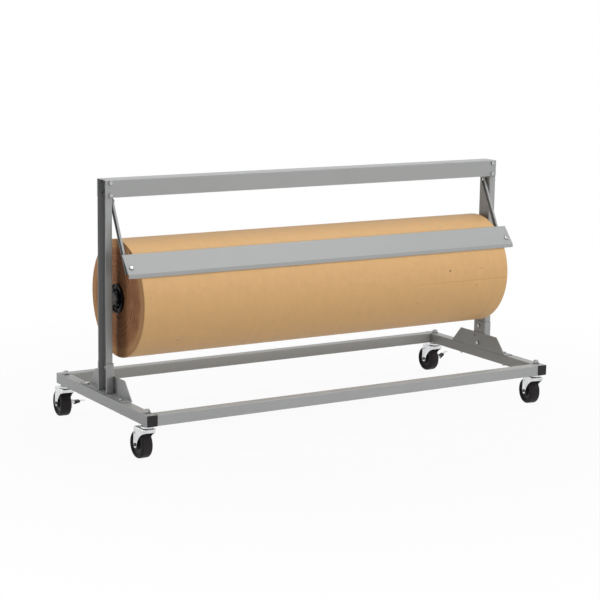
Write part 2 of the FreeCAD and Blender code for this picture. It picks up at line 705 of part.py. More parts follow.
def post(side, sign):
    height = f"{POST_TOP} - {POST_FOOT}"
    axis = f"{AXIS_Z} - {POST_FOOT}"
    rises = [("0", rise, "bolt_diameter") for rise in FOOT_BOLT_RISES] + [
        ("0", f"{axis} - saddle_bolt_spacing / 2", "small_diameter"),
        ("0", f"{axis} + saddle_bolt_spacing / 2", "small_diameter"),
        ("-pivot_forward", f"{PIVOT_Z} - {POST_FOOT}", "small_diameter"),
    ]
    name = f"{side}_post"
    body = upright_channel(name, sign, "post_wall", "(post_depth / 2)", "post_width", height, rises)
    upper = f"{MAST_TOP} - {POST_FOOT} - crossbar_bolt_top"
    holes = [
        (f"{sign} * crossbar_bolt_inset", rise, "bolt_diameter + hole_play")
        for rise in (upper, f"{upper} - crossbar_bolt_spacing")
    ]
    cut(body, outline(body, "XZ_Plane", *holes))
    place(body, f"{sign} * {POST_FACE}", "mast_offset", POST_FOOT)
    node(body, name)


def crossbar():
    """A channel turned upside down over both posts, with its top on z = 0."""
    body = new_body("crossbar")
    half = CROSSBAR_HALF_DEPTH
    inner = f"({half} - crossbar_wall)"
    profile = [
        (f"-{half}", "0"),
        (f"-{half}", "-crossbar_height"),
        (f"-{inner}", "-crossbar_height"),
        (f"-{inner}", "-crossbar_wall"),
        (inner, "-crossbar_wall"),
        (inner, "-crossbar_height"),
        (half, "-crossbar_height"),
        (half, "0"),
    ]
    pad(body, outline(body, "YZ_Plane", profile), f"2 * ({POST_FACE} + post_width)")
    round_edges(body, "crossbar_wall + bend_radius", straight("X", (half, "0"), (f"-{half}", "0")))
    bends = [(inner, "-crossbar_wall"), (f"-{inner}", "-crossbar_wall")]
    round_edges(body, "bend_radius", straight("X", *bends))
    holes = [
        (f"{sign} * {CROSSBAR_BOLT_X}", drop, "bolt_diameter + hole_play")
        for side, sign in CORNERS
        for drop in ("-crossbar_bolt_top", "-crossbar_bolt_top - crossbar_bolt_spacing")
    ]
    cut(body, outline(body, "XZ_Plane", *holes))
    place(body, "0", "mast_offset", MAST_TOP)
    node(body, "crossbar")


def shaft_saddle(side, sign):
    """A plate on the inside of the post with a cradle that is open upwards."""
    body = new_body(f"{side}_shaft_saddle")
    half = "saddle_width / 2"
    plate = rectangle(f"-{half}", "-saddle_height / 2", half, "saddle_height / 2")
    start = "-saddle_wall" if sign > 0 else "0"
    pad(body, outline(body, "YZ_Plane", plate), "saddle_wall", start=start)
    bore = "(shaft_diameter / 2 + running_fit)"
    outer = f"({bore} + cradle_wall)"
    start = "-saddle_wall - saddle_block" if sign > 0 else "saddle_wall"
    pad(body, outline(body, "YZ_Plane", ("0", "0", f"2 * {outer}")), "saddle_block", start=start)
    cheeks = rectangle(f"-{outer}", "0", outer, "cradle_rise")
    pad(body, outline(body, "YZ_Plane", cheeks), "saddle_block", start=start)
    cut(body, outline(body, "YZ_Plane", ("0", "0", f"2 * {bore}")), "saddle_block", start)
    slot = rectangle(f"-{bore}", "0", bore, f"cradle_rise + {OVERLAP}")
    cut(body, outline(body, "YZ_Plane", slot), "saddle_block", start)
    bolts = [("0", f"{way} * saddle_bolt_spacing / 2", "small_diameter + hole_play") for way in (-1, 1)]
    cut(body, outline(body, "YZ_Plane", *bolts))
    place(body, f"{sign} * {POST_FACE}", "mast_offset", AXIS_Z)
    node(body, f"{side}_shaft_saddle")


# --- fasteners of the frame ------------------------------------------------------------


def frame_fasteners():
    """Bolts through the crossbar, the post feet and the gusset feet, and all their nuts."""
    crossbar_spots = []
    foot_spots = []
    gusset_spots = []
    nut_spots = []
    for side, sign in CORNERS:
        bolt_x = f"{sign} * {CROSSBAR_BOLT_X}"
        for drop in ("crossbar_bolt_top", "crossbar_bolt_top + crossbar_bolt_spacing"):
            height = f"{MAST_TOP} - ({drop})"
            front = f"mast_offset - {CROSSBAR_HALF_DEPTH}"
            back = f"mast_offset + {CROSSBAR_HALF_DEPTH}"
            crossbar_spots.append((crossbar_bolt, bolt_x, front, height, ALONG_Y, "90"))
            nut_spots.append((frame_nut, bolt_x, back, height, ALONG_Y, "-90"))
        inside = f"{POST_FACE} - sleeve_wall"
        post_web = f"{sign} * ({POST_FACE} + post_wall)"
        feet = ((f"{inside} - gusset_wall", "foot_bolt_rise"), (inside, "sleeve_bolt_rise"))
        for head, rise in feet:
            height = f"{RAIL_TOP} + {rise}"
            head_x = f"{sign} * ({head})"
            foot_spots.append((foot_bolt, head_x, "mast_offset", height, ALONG_X, f"{-90 * sign}"))
            nut_spots.append((frame_nut, post_web, "mast_offset", height, ALONG_X, f"{90 * sign}"))
        for way in (-1, 1):
            bolt_y = f"mast_offset + {way} * gusset_bolt_spacing / 2"
            rail_x = f"{sign} * {RAIL_X}"
            gusset_spots.append((gusset_bolt, rail_x, bolt_y, GUSSET_FLANGE_TOP, (0, 0, 1), "0"))
            nut_spots.append((frame_nut, rail_x, bolt_y, RAIL_BOTTOM, (1, 0, 0), "180"))
    group("crossbar_bolts", crossbar_spots)
    group("post_foot_bolts", foot_spots)
    group("gusset_bolts", gusset_spots)
    group("frame_nuts", nut_spots)


def saddle_fasteners():
    length = "saddle_wall + post_wall + small_nut_height + bolt_tail"
    bolt = make_bolt("saddle_bolt", "small_diameter", length, "small_head_width", "small_head")
    bolt_spots = []
    nut_spots = []
    for side, sign in CORNERS:
        for way in (-1, 1):
            height = f"{AXIS_Z} + {way} * saddle_bolt_spacing / 2"
            head_x = f"{sign} * {SADDLE_FACE}"
            nut_x = f"{sign} * ({POST_FACE} + post_wall)"
            bolt_spots.append((bolt, head_x, "mast_offset", height, ALONG_X, f"{-90 * sign}"))
            nut_spots.append((small_nut, nut_x, "mast_offset", height, ALONG_X, f"{90 * sign}"))
    group("saddle_bolts", bolt_spots)
    group("saddle_nuts", nut_spots)


def pivot_fasteners():
    """The bolts that the cutter swings on, with a spacer between each arm and its post."""
    clamped = "left_gap + arm_wall + pivot_play + post_wall + small_nut_height + bolt_tail"
    bolt = make_bolt("pivot_bolt", "small_diameter", clamped, "small_head_width", "small_head")
    left_length = "left_gap - pivot_play"
    right_length = "right_gap - pivot_play"
    left_spacer = make_ring("left_spacer", "small_diameter", "spacer_diameter", left_length)
    right_spacer = make_ring("right_spacer", "small_diameter", "spacer_diameter", right_length)
    left_head = f"{LEFT_ARM_X} + pivot_play"
    right_head = f"{RIGHT_ARM_X} - arm_wall - pivot_play"
    web = f"({POST_FACE} + post_wall)"
    bolts = [
        (bolt, left_head, PIVOT_Y, PIVOT_Z, ALONG_X, "90"),
        (bolt, right_head, PIVOT_Y, PIVOT_Z, ALONG_X, "-90"),
    ]
    spacers = [
        (left_spacer, f"-{POST_FACE}", PIVOT_Y, PIVOT_Z, ALONG_X, "90"),
        (right_spacer, POST_FACE, PIVOT_Y, PIVOT_Z, ALONG_X, "-90"),
    ]
    nuts = [
        (small_nut, f"-{web}", PIVOT_Y, PIVOT_Z, ALONG_X, "-90"),
        (small_nut, web, PIVOT_Y, PIVOT_Z, ALONG_X, "90"),
    ]
    group("cutter_pivot_bolts", bolts)
    group("cutter_pivot_spacers", spacers)
    group("cutter_pivot_nuts", nuts)


# --- roll ------------------------------------------------------------------------------


HUB_FRONT = "(plug_flange - plug_rib_setback)"
PLUG_SEAT = f"({HUB_FRONT} - plug_seat)"


def hollow_roller(name, bore, diameter, length):
    body = new_body(name)
    loops = [("0", "0", diameter)]
    if bore is not None:
        loops.append(("0", "0", bore))
    pad(body, outline(body, "YZ_Plane", *loops), length)
    place(body, "0", "mast_offset", AXIS_Z)
    return node(body, name)


def core_plug(side, sign):
    """A plug in the core: a dished flange, and ribs round a hub ring that seats the collar.

    x = 0 is the end of the roll, and positive x points away from it.
    """
    body = new_body(f"{side}_core_plug")
    bore = "(shaft_diameter / 2 + plug_fit)"
    outside = "(core_bore / 2 - plug_fit)"
    inside = f"({outside} - plug_wall)"
    rim = "(plug_flange_diameter / 2 - plug_rim)"
    hub = "(plug_hub_diameter / 2)"
    cup = f"({hub} - plug_wall)"
    boss = f"({bore} + 2 * plug_wall)"
    dish = "(plug_flange - plug_dish)"
    web_front = "(plug_flange - plug_recess)"
    web_back = f"({web_front} - plug_wall)"
    profile = [
        (PLUG_SEAT, bore),
        (PLUG_SEAT, cup),
        (HUB_FRONT, cup),
        (HUB_FRONT, hub),
        (web_front, hub),
        (web_front, inside),
        (dish, inside),
        (dish, rim),
        ("plug_flange", rim),
        ("plug_flange", "plug_flange_diameter / 2"),
        ("0", "plug_flange_diameter / 2"),
        ("0", outside),
        ("-plug_depth", outside),
        ("-plug_depth", inside),
        (web_back, inside),
        (web_back, boss),
        ("-plug_depth", boss),
        ("-plug_depth", bore),
    ]
    turn_profile(body, "XZ_Plane", profile, "H_Axis")
    rib = [
        (f"{web_front} - {OVERLAP}", f"{hub} - {OVERLAP}"),
        (HUB_FRONT, f"{hub} - {OVERLAP}"),
        (HUB_FRONT, f"{rim} + {OVERLAP}"),
        (f"{dish} - {OVERLAP}", f"{rim} + {OVERLAP}"),
        (f"{dish} - {OVERLAP}", f"{inside} + {OVERLAP}"),
        (f"{web_front} - {OVERLAP}", f"{inside} + {OVERLAP}"),
    ]
    first_rib = pad(body, outline(body, "XZ_Plane", rib), "plug_wall")
    pattern = body.newObject("PartDesign::PolarPattern", "Ribs")
    pattern.Originals = [first_rib]
    pattern.Axis = ([item for item in body.Origin.OriginFeatures if item.Role == "X_Axis"][0], [""])
    pattern.Angle = 360
    bind(pattern, "Occurrences", "plug_ribs")
    body.Tip = pattern
    doc.recompute()
    place(body, f"{sign} * {ROLL_END}", "mast_offset", AXIS_Z, (0, 0, 1), "0" if sign > 0 else "180")
    node(body, f"{side}_core_plug")


def shaft_collars():
    """Collars on the seats of both plugs, each with its set screw on top."""
    collar = new_body("shaft_collar")
    inner = "(shaft_diameter / 2 + plug_fit)"
    loops = [("0", "0", "collar_diameter"), ("0", "0", f"2 * {inner}")]
    pad(collar, outline(collar, "YZ_Plane", *loops), "collar_width", start="0")
    screw_at = "(collar_width - set_screw_setback)"
    hole = outline(collar, "XY_Plane", (screw_at, "0", "set_screw_diameter"))
    cut(collar, hole, "collar_diameter / 2", "0")
    screw = new_body("set_screw")
    length = f"(collar_diameter / 2 - set_screw_sunk - {inner})"
    pad(screw, outline(screw, "XY_Plane", ("0", "0", "set_screw_diameter")), length, start="0")
    socket = outline(screw, "XY_Plane", hexagon("set_screw_socket"))
    cut(screw, socket, f"{length} / 2", f"{length} / 2")
    face = f"({ROLL_END} + {PLUG_SEAT})"
    spots = []
    for side, sign in CORNERS:
        turn = "0" if sign > 0 else "180"
        spots.append((collar, f"{sign} * {face}", "mast_offset", AXIS_Z, (0, 0, 1), turn))
        screw_x = f"{sign} * ({face} + {screw_at})"
        spots.append((screw, screw_x, "mast_offset", f"{AXIS_Z} + {inner}", (0, 0, 1), turn))
    group("shaft_collars", spots)


# --- cutter ----------------------------------------------------------------------------
# Its pieces are drawn with the pivot at the origin and the arms straight down, as pairs
# (forward, down), and then swung forward about the pivot until the blade meets the paper.

SPAN = f"sqrt(({PIVOT_Z} - {AXIS_Z}) ^ 2 + pivot_forward ^ 2)"
BLADE_RADIUS = "sqrt(tip_reach ^ 2 + tip_drop ^ 2)"
BLADE_TO_AXIS = "(roll_diameter / 2 + blade_gap)"
REST_SWING = (
    f"acos(({SPAN} ^ 2 + {BLADE_RADIUS} ^ 2 - {BLADE_TO_AXIS} ^ 2) / (2 * {SPAN} * {BLADE_RADIUS}))"
    f" - atan(pivot_forward / ({PIVOT_Z} - {AXIS_Z})) - atan(tip_reach / tip_drop)"
)

LIP_UP = ("sin(lip_lean)", "-cos(lip_lean)")
LIP_IN = ("-cos(lip_lean)", "-sin(lip_lean)")
FACE_UP = ("-sin(face_lean)", "-cos(face_lean)")
FACE_IN = ("-cos(face_lean)", "sin(face_lean)")


def moved(point, *steps):
    """A (forward, down) point after steps, each a direction and a distance."""
    forward, down = point
    for direction, distance in steps:
        forward = f"{forward} + ({direction[0]}) * ({distance})"
        down = f"{down} + ({direction[1]}) * ({distance})"
    return f"({forward})", f"({down})"


BLADE_TIP = ("tip_reach", "tip_drop")
LIP_FOOT = moved(BLADE_TIP, (LIP_IN, "-blade_wall - bar_wall"), (LIP_UP, "blade_proud"))
BEND = moved(LIP_FOOT, (LIP_UP, "lip_height"))
FACE_TOP = moved(BEND, (FACE_UP, "face_height"))
INNER_BEND = moved(
    BEND,
    (LIP_IN, "bar_wall / (1 + cos(lip_lean + face_lean))"),
    (FACE_IN, "bar_wall / (1 + cos(lip_lean + face_lean))"),
)


def drawn(points):
    """(forward, down) pairs as sketch points on the YZ plane."""
    return [(f"-{forward}", f"-{down}") for forward, down in points]


def swing(thing, x):
    """Stand a cutter piece on the pivot axis, swung to its rest on the paper."""
    place(thing, x, PIVOT_Y, PIVOT_Z, (-1, 0, 0), REST_SWING)


def cutter_arm(side, x):
    """A small channel that is open towards -X, with its web on x = 0."""
    body = new_body(f"{side}_cutter_arm")
    half = "arm_depth / 2"
    inner = f"({half} - arm_wall)"
    profile = [
        ("0", f"-{half}"),
        ("0", half),
        ("-arm_width", half),
        ("-arm_width", inner),
        ("-arm_wall", inner),
        ("-arm_wall", f"-{inner}"),
        ("-arm_width", f"-{inner}"),
        ("-arm_width", f"-{half}"),
    ]
    pad(body, outline(body, "XY_Plane", profile), "arm_length + arm_head", start="-arm_length")
    round_edges(body, "arm_corner", straight("Z", ("0", half), ("0", f"-{half}")))
    pivot = ("0", "0", "small_diameter + 2 * running_fit")
    rivets = [(y, z, "rivet_diameter") for y, z in drawn(ARM_RIVETS)]
    cut(body, outline(body, "YZ_Plane", pivot, *rivets))
    swing(body, x)
    node(body, f"{side}_cutter_arm")


BRACKET_LOW = moved(BEND, (FACE_IN, "bar_wall"), (FACE_UP, "bracket_start"))
BRACKET_HIGH = moved(BRACKET_LOW, (FACE_UP, "bracket_height"))
BAR_BOLT = moved(BEND, (FACE_UP, "bar_bolt_rise"))
ARM_RIVETS = [("0", f"(arm_length - {up})") for up in ("rivet_margin", "rivet_margin - rivet_spacing")]


def bar_bracket(side, x):
    """A web riveted to the arm and a tab behind the bar; x = 0 is the web of the arm."""
    body = new_body(f"{side}_bar_bracket")
    web = [
        BRACKET_LOW,
        BRACKET_HIGH,
        ("(bracket_inset - arm_depth / 2)", "(arm_length - bracket_lap)"),
        ("(bracket_inset - arm_depth / 2)", "arm_length"),
        ("(arm_depth / 2)", "arm_length"),
    ]
    pad(body, outline(body, "YZ_Plane", drawn(web)), "bracket_wall", start="0")
    tab = [
        BRACKET_LOW,
        BRACKET_HIGH,
        moved(BRACKET_HIGH, (FACE_IN, "bracket_wall")),
        moved(BRACKET_LOW, (FACE_IN, "bracket_wall")),
    ]
    pad(body, outline(body, "YZ_Plane", drawn(tab)), "bracket_tab + bracket_wall", start="-bracket_tab")
    cut(body, outline(body, "YZ_Plane", *[(y, z, "rivet_diameter") for y, z in drawn(ARM_RIVETS)]),
        "bracket_wall", "0")
    drill_face(body, "-bar_bolt_side")
    swing(body, x)
    node(body, f"{side}_bar_bracket")


def drill_face(body, *holes_x):
    """Bolt holes through the wide face of the bar and what lies behind it."""
    forward, down = BAR_BOLT
    sketch = outline(body, "XZ_Plane", *[(x, "0", "small_diameter + hole_play") for x in holes_x])
    turn = FreeCAD.Rotation(FreeCAD.Vector(-1, 0, 0), 1)
    sketch.AttachmentOffset = FreeCAD.Placement(FreeCAD.Vector(), turn)
    bind(sketch, "AttachmentOffset.Base.y", f"-{down}")
    bind(sketch, "AttachmentOffset.Base.z", forward)
    bind(sketch, "AttachmentOffset.Rotation.Angle", "face_lean")
    doc.recompute()
    cut(body, sketch)


def cutter_bar():
    """Folded sheet: a wide face above a narrow lip that the blade is welded to."""
    body = new_body("cutter_bar")
    profile = [
        LIP_FOOT,
        BEND,
        FACE_TOP,
        moved(FACE_TOP, (FACE_IN, "bar_wall")),
        INNER_BEND,
        moved(LIP_FOOT, (LIP_IN, "bar_wall")),
    ]
    start = f"{LEFT_ARM_X} - bar_left_overhang"
    length = f"{RIGHT_ARM_X} + bar_right_overhang - ({start})"
    pad(body, outline(body, "YZ_Plane", drawn(profile)), length, start=start)
    round_edges(body, "bar_wall + bar_bend", straight("X", *drawn([BEND])))
    round_edges(body, "bar_bend", straight("X", *drawn([INNER_BEND])))
    drill_face(body, *[f"{x} - bar_bolt_side" for x in (LEFT_ARM_X, RIGHT_ARM_X)])
    swing(body, "0")
    node(body, "cutter_bar")


def cutter_blade():
    """A thin strip with triangular teeth, inside the lip of the bar."""
    reach = number("tip_reach")
    drop = number("tip_drop")
    up = FreeCAD.Vector(0, -number(LIP_UP[0]), -number(LIP_UP[1]))
    out = FreeCAD.Vector(0, number(LIP_IN[0]), number(LIP_IN[1]))
    tip = FreeCAD.Vector(0, -reach, -drop)
    low = number(f"{LEFT_ARM_X} - bar_left_overhang + blade_margin")
    high = number(f"{RIGHT_ARM_X} + bar_right_overhang - blade_margin")
    count = int((high - low) / number("tooth_pitch"))
    pitch = (high - low) / count
    along = FreeCAD.Vector(1, 0, 0)
    points = []
    for tooth in range(count):
        points.append(tip + along * (low + pitch * tooth) + up * number("tooth_depth"))
        points.append(tip + along * (low + pitch * (tooth + 0.5)))
    points.append(tip + along * high + up * number("tooth_depth"))
    points.append(tip + along * high + up * number("blade_height"))
    points.append(tip + along * low + up * number("blade_height"))
    points.append(points[0])
    strip = Part.Face(Part.makePolygon(points)).extrude(out * number("blade_wall"))
    feature = doc.addObject("Part::Feature", "cutter_blade")
    feature.Shape = strip
    swing(feature, "0")
    node(feature, "cutter_blade")


def cutter_fasteners():
    """Domed bolts and nuts at the tabs, and rivets at the arms and along the blade."""
    stack = "(bar_wall + bracket_wall)"
    length = f"{stack} + small_nut_height + bolt_tail"
    bolt = make_domed_bolt("bar_bolt", "small_diameter", length)
    rivet = new_body("rivet")
    pad(rivet, outline(rivet, "XY_Plane", ("0", "0", "rivet_head_diameter")), "rivet_head", start="0")
    pad(rivet, outline(rivet, "XY_Plane", ("0", "0", "rivet_diameter")), "arm_wall + bracket_wall",
        start="-arm_wall - bracket_wall")
    pad(rivet, outline(rivet, "XY_Plane", ("0", "0", "rivet_head_diameter")), "rivet_head",
        start="-arm_wall - bracket_wall - rivet_head")
    nut_at = moved(BAR_BOLT, (FACE_IN, stack))
    bolts = []
    nuts = []
    rivets = []
    for x in (LEFT_ARM_X, RIGHT_ARM_X):
        bolt_x = f"{x} - bar_bolt_side"
        bolts.append((bolt, bolt_x, f"-{BAR_BOLT[0]}", f"-{BAR_BOLT[1]}", (1, 0, 0), "90 - face_lean"))
        nuts.append((small_nut, bolt_x, f"-{nut_at[0]}", f"-{nut_at[1]}", (1, 0, 0), "-90 - face_lean"))
        for forward, down in ARM_RIVETS:
            rivets.append((rivet, f"{x} + bracket_wall", f"-{forward}", f"-{down}", ALONG_X, "90"))
    for label, spots in (("bar_bolts", bolts), ("bar_nuts", nuts), ("bracket_rivets", rivets)):
        swing(group(label, spots), "0")


# --- casters ---------------------------------------------------------------------------
# Caster pieces are drawn with the swivel axis on z and the underside of the rail on
# z = 0. The wheel trails towards +Y, and then the caster is turned to its rest angle.

AXLE_AT = ("axle_trail", "-axle_drop")
FORK_HALF = "(fork_inside / 2 + fork_wall)"
CROWN_BOTTOM = "(-crown_drop - fork_wall)"
RACE_BOTTOM = "(-hex_collar_height - race_skirt)"
CASTERS = [
    ("front_left", -1, -1, None),
    ("front_right", 1, -1, None),
    ("rear_left", -1, 1, "left_brake_lift"),
    ("rear_right", 1, 1, "right_brake_lift"),
]


def stand(thing, corner, side, end):
    """Stand a caster piece under its corner of the base, turned to its rest angle."""
    place(thing, f"{side} * {RAIL_X}", f"{end} * {CASTER_Y}", RAIL_BOTTOM, (0, 0, 1), f"{corner}_turn")


def caster_stem_pieces():
    """Stems with their race caps, and the nuts, washers and balls."""
    stem = new_body("caster_stem")
    neck = "(neck_diameter / 2)"
    foot = f"({CROWN_BOTTOM} - swivel_play)"
    race = "(race_diameter / 2)"
    profile = [
        ("0", "tube_side + stem_rise"),
        ("stem_diameter / 2", "tube_side + stem_rise"),
        ("stem_diameter / 2", "-hex_collar_height"),
        (race, "-hex_collar_height"),
        (race, RACE_BOTTOM),
        (f"{race} - race_wall", RACE_BOTTOM),
        (f"{race} - race_wall", "-hex_collar_height - race_wall"),
        (neck, "-hex_collar_height - race_wall"),
        (neck, foot),
        ("rivet_flange_diameter / 2", foot),
        ("rivet_flange_diameter / 2", f"{foot} - rivet_flange"),
        ("0", f"{foot} - rivet_flange"),
    ]
    turn_profile(stem, "XZ_Plane", profile, "V_Axis")
    collar = outline(stem, "XY_Plane", hexagon("hex_collar_width"))
    pad(stem, collar, "hex_collar_height", start="-hex_collar_height")
    nut = make_nut("stem_nut", "stem_diameter", "stem_nut_width", "stem_nut_height")
    lock = outline(nut, "XY_Plane", ("0", "0", "stem_lock_diameter"), ("0", "0", "stem_diameter"))
    pad(nut, lock, "stem_lock_height", start="stem_nut_height")
    washer = make_ring("stem_washer", "stem_diameter", "washer_diameter", "washer_height")
    ball = doc.addObject("Part::Sphere", "swivel_ball")
    gap = "(crown_drop - hex_collar_height - race_wall)"
    bind(ball, "Radius", f"{gap} / 2 - swivel_play")
    stems = []
    nuts = []
    washers = []
    balls = []
    for corner, side, end, lift in CASTERS:
        x = f"{side} * {RAIL_X}"
        y = f"{end} * {CASTER_Y}"
        stems.append((stem, x, y, RAIL_BOTTOM, (0, 0, 1), "0"))
        washers.append((washer, x, y, RAIL_TOP, (0, 0, 1), "0"))
        nuts.append((nut, x, y, f"{RAIL_TOP} + washer_height", (0, 0, 1), "30"))
        for index in range(int(number("ball_count"))):
            step = f"({index} * 360 / ball_count)"
            ball_x = f"{x} + ball_circle / 2 * cos({step})"
            ball_y = f"{y} + ball_circle / 2 * sin({step})"
            ball_z = f"{RAIL_BOTTOM} - crown_drop + {gap} / 2"
            balls.append((ball, ball_x, ball_y, ball_z, (0, 0, 1), "0"))
    group("caster_stems", stems)
    group("caster_stem_nuts", nuts)
    group("caster_stem_washers", washers)
    group("swivel_bearing_balls", balls)


def fork(corner, side, end, braked):
    """A pressed fork: a crown, a low wall in front, and a leg on each side of the wheel."""
    body = new_body(f"{corner}_fork")
    trail, axle = AXLE_AT
    back = "(axle_trail + fork_back)"
    top = "-crown_drop"
    half = FORK_HALF
    leg = [
        ("-fork_front", top),
        ("-fork_front", f"{top} - fork_nose"),
        ("axle_trail - leg_radius", axle),
        ("axle_trail + leg_radius", axle),
        (back, top),
    ]
    pad(body, outline(body, "YZ_Plane", leg), f"2 * {half}")
    throat = ("axle_trail - throat_forward", f"{axle} - throat_below", "2 * throat_radius")
    cut(body, outline(body, "YZ_Plane", throat))
    pad(body, outline(body, "YZ_Plane", (trail, axle, "2 * leg_radius")), f"2 * {half}")
    round_edges(body, "fork_nose_radius", straight("Z", (half, "-fork_front"), (f"-{half}", "-fork_front")))
    crown = number(top)
    crown_end = number(back)

    def crown_edge(edge):
        middle = edge.CenterOfMass
        return abs(middle.z - crown) < NEAR and abs(middle.y - crown_end) > NEAR

    round_edges(body, "fork_corner", crown_edge)
    front = "(fork_wall - fork_front)"
    floor = f"({axle} - leg_radius - {OVERLAP})"
    inside = rectangle("-fork_inside / 2", front, "fork_inside / 2", f"{back} + leg_radius")
    cut(body, outline(body, "XY_Plane", inside), f"{CROWN_BOTTOM} - {floor}", floor)
    corners = [("fork_inside / 2", front), ("-fork_inside / 2", front)]
    round_edges(body, "fork_nose_radius - fork_wall", straight("Z", *corners))
    cut(body, outline(body, "YZ_Plane", (trail, axle, "axle_diameter + hole_play")))
    cut_slot(body, "YZ_Plane", trail, f"{axle} + leg_hole_rise", "leg_hole_width", "leg_hole_length")
    if braked:
        add_brake_lug(body)
    stem_hole = ("0", "0", "neck_diameter + 2 * running_fit")
    cut(body, outline(body, "XY_Plane", stem_hole))
    stand(body, corner, side, end)
    node(body, f"{corner}_fork")


BRAKE_Y = "(axle_trail - brake_forward)"
BRAKE_Z = "(brake_rise - axle_drop)"


def add_brake_lug(body):
    """A lug in front of the outer leg, with a window for the toe and two ears."""
    edge = "axle_trail - leg_radius / 2"
    lug = rectangle(f"{BRAKE_Y} - lug_front", f"{BRAKE_Z} - lug_bottom", edge, f"{BRAKE_Z} + lug_top")
    pad(body, outline(body, "YZ_Plane", lug), "fork_wall", start="fork_inside / 2")
    window = rectangle(
        f"{BRAKE_Y} - window_width / 2",
        f"{BRAKE_Z} - window_top - window_height",
        f"{BRAKE_Y} + window_width / 2",
        f"{BRAKE_Z} - window_top",
    )
    cut(body, outline(body, "YZ_Plane", window), "fork_wall", "fork_inside / 2")
    ear = rectangle(
        "fork_inside / 2 + fork_wall / 2",
        f"{BRAKE_Z} - ear_height / 2",
        "brake_side + ear_height / 2",
        f"{BRAKE_Z} + ear_height / 2",
    )
    for start in (f"-{BRAKE_Y} - ear_gap / 2 - ear_wall", f"-{BRAKE_Y} + ear_gap / 2"):
        pad(body, outline(body, "XZ_Plane", ear), "ear_wall", start=start)
    pin_hole = ("brake_side", BRAKE_Z, "brake_pin_diameter")
    across = "ear_gap + 2 * ear_wall"
    cut(body, outline(body, "XZ_Plane", pin_hole), across, f"-{BRAKE_Y} - ({across}) / 2")


def axle(corner, side, end):
    """The axle bolt and its nut, and the sleeve that the wheel turns on."""
    outer = FORK_HALF
    length = f"2 * {outer} + small_nut_height + bolt_tail"
    bolt = make_bolt(f"{corner}_axle_bolt", "axle_diameter", length, "small_head_width", "small_head")
    nut = make_nut(f"{corner}_axle_nut", "axle_diameter", "small_head_width", "small_nut_height")
    sleeve = make_ring(f"{corner}_axle_sleeve", "axle_diameter", "sleeve_diameter", "fork_inside")
    trail, height = AXLE_AT
    spots = [
        (bolt, f"-{outer}", trail, height, ALONG_X, "-90"),
        (nut, outer, trail, height, ALONG_X, "90"),
        (sleeve, "-fork_inside / 2", trail, height, ALONG_X, "90"),
    ]
    stand(group(f"{corner}_axle", spots), corner, side, end)


def wheel(corner, side, end):
    body = new_body(f"{corner}_wheel")
    half = "(wheel_width / 2)"
    floor = f"({half} - groove_depth)"
    bore = "(sleeve_diameter / 2 + running_fit)"
    side_profile = [
        ("hub_width / 2", bore),
        ("hub_width / 2", "hub_diameter / 2"),
        (half, "hub_diameter / 2"),
        (half, "groove_inner / 2"),
        (floor, "groove_inner / 2 + groove_slope"),
        (floor, "groove_outer / 2 - groove_slope"),
        (half, "groove_outer / 2"),
        (half, "wheel_diameter / 2"),
    ]
    other_side = [(f"-{x}", radius) for x, radius in reversed(side_profile)]
    turn_profile(body, "XZ_Plane", side_profile + other_side, "H_Axis")
    rim = number("wheel_diameter / 2")

    def tread_edge(edge):
        is_circle = edge.Curve.TypeId == "Part::GeomCircle"
        return is_circle and abs(edge.Curve.Radius - rim) < NEAR

    round_edges(body, "tread_rounding", tread_edge)
    trail, height = AXLE_AT
    turn = f"{corner}_turn"
    place(
        body,
        f"{side} * {RAIL_X} - sin({turn}) * {trail}",
        f"{end} * {CASTER_Y} + cos({turn}) * {trail}",
        f"{RAIL_BOTTOM} + {height}",
        (0, 0, 1),
        turn,
    )
    node(body, f"{corner}_wheel")


# --- brakes ----------------------------------------------------------------------------


def lifted(points, lift):
    """Points (out, up) from the brake pin, tilted up about it and put in the XZ plane."""
    placed = []
    for out, up in points:
        x = f"brake_side + ({out}) * cos({lift}) - ({up}) * sin({lift})"
        z = f"{BRAKE_Z} + ({out}) * sin({lift}) + ({up}) * cos({lift})"
        placed.append((x, z))
    return placed


def across_lever(width):
    """Where a pad of this width starts along the normal of the XZ plane."""
    return f"-{BRAKE_Y} - ({width}) / 2"


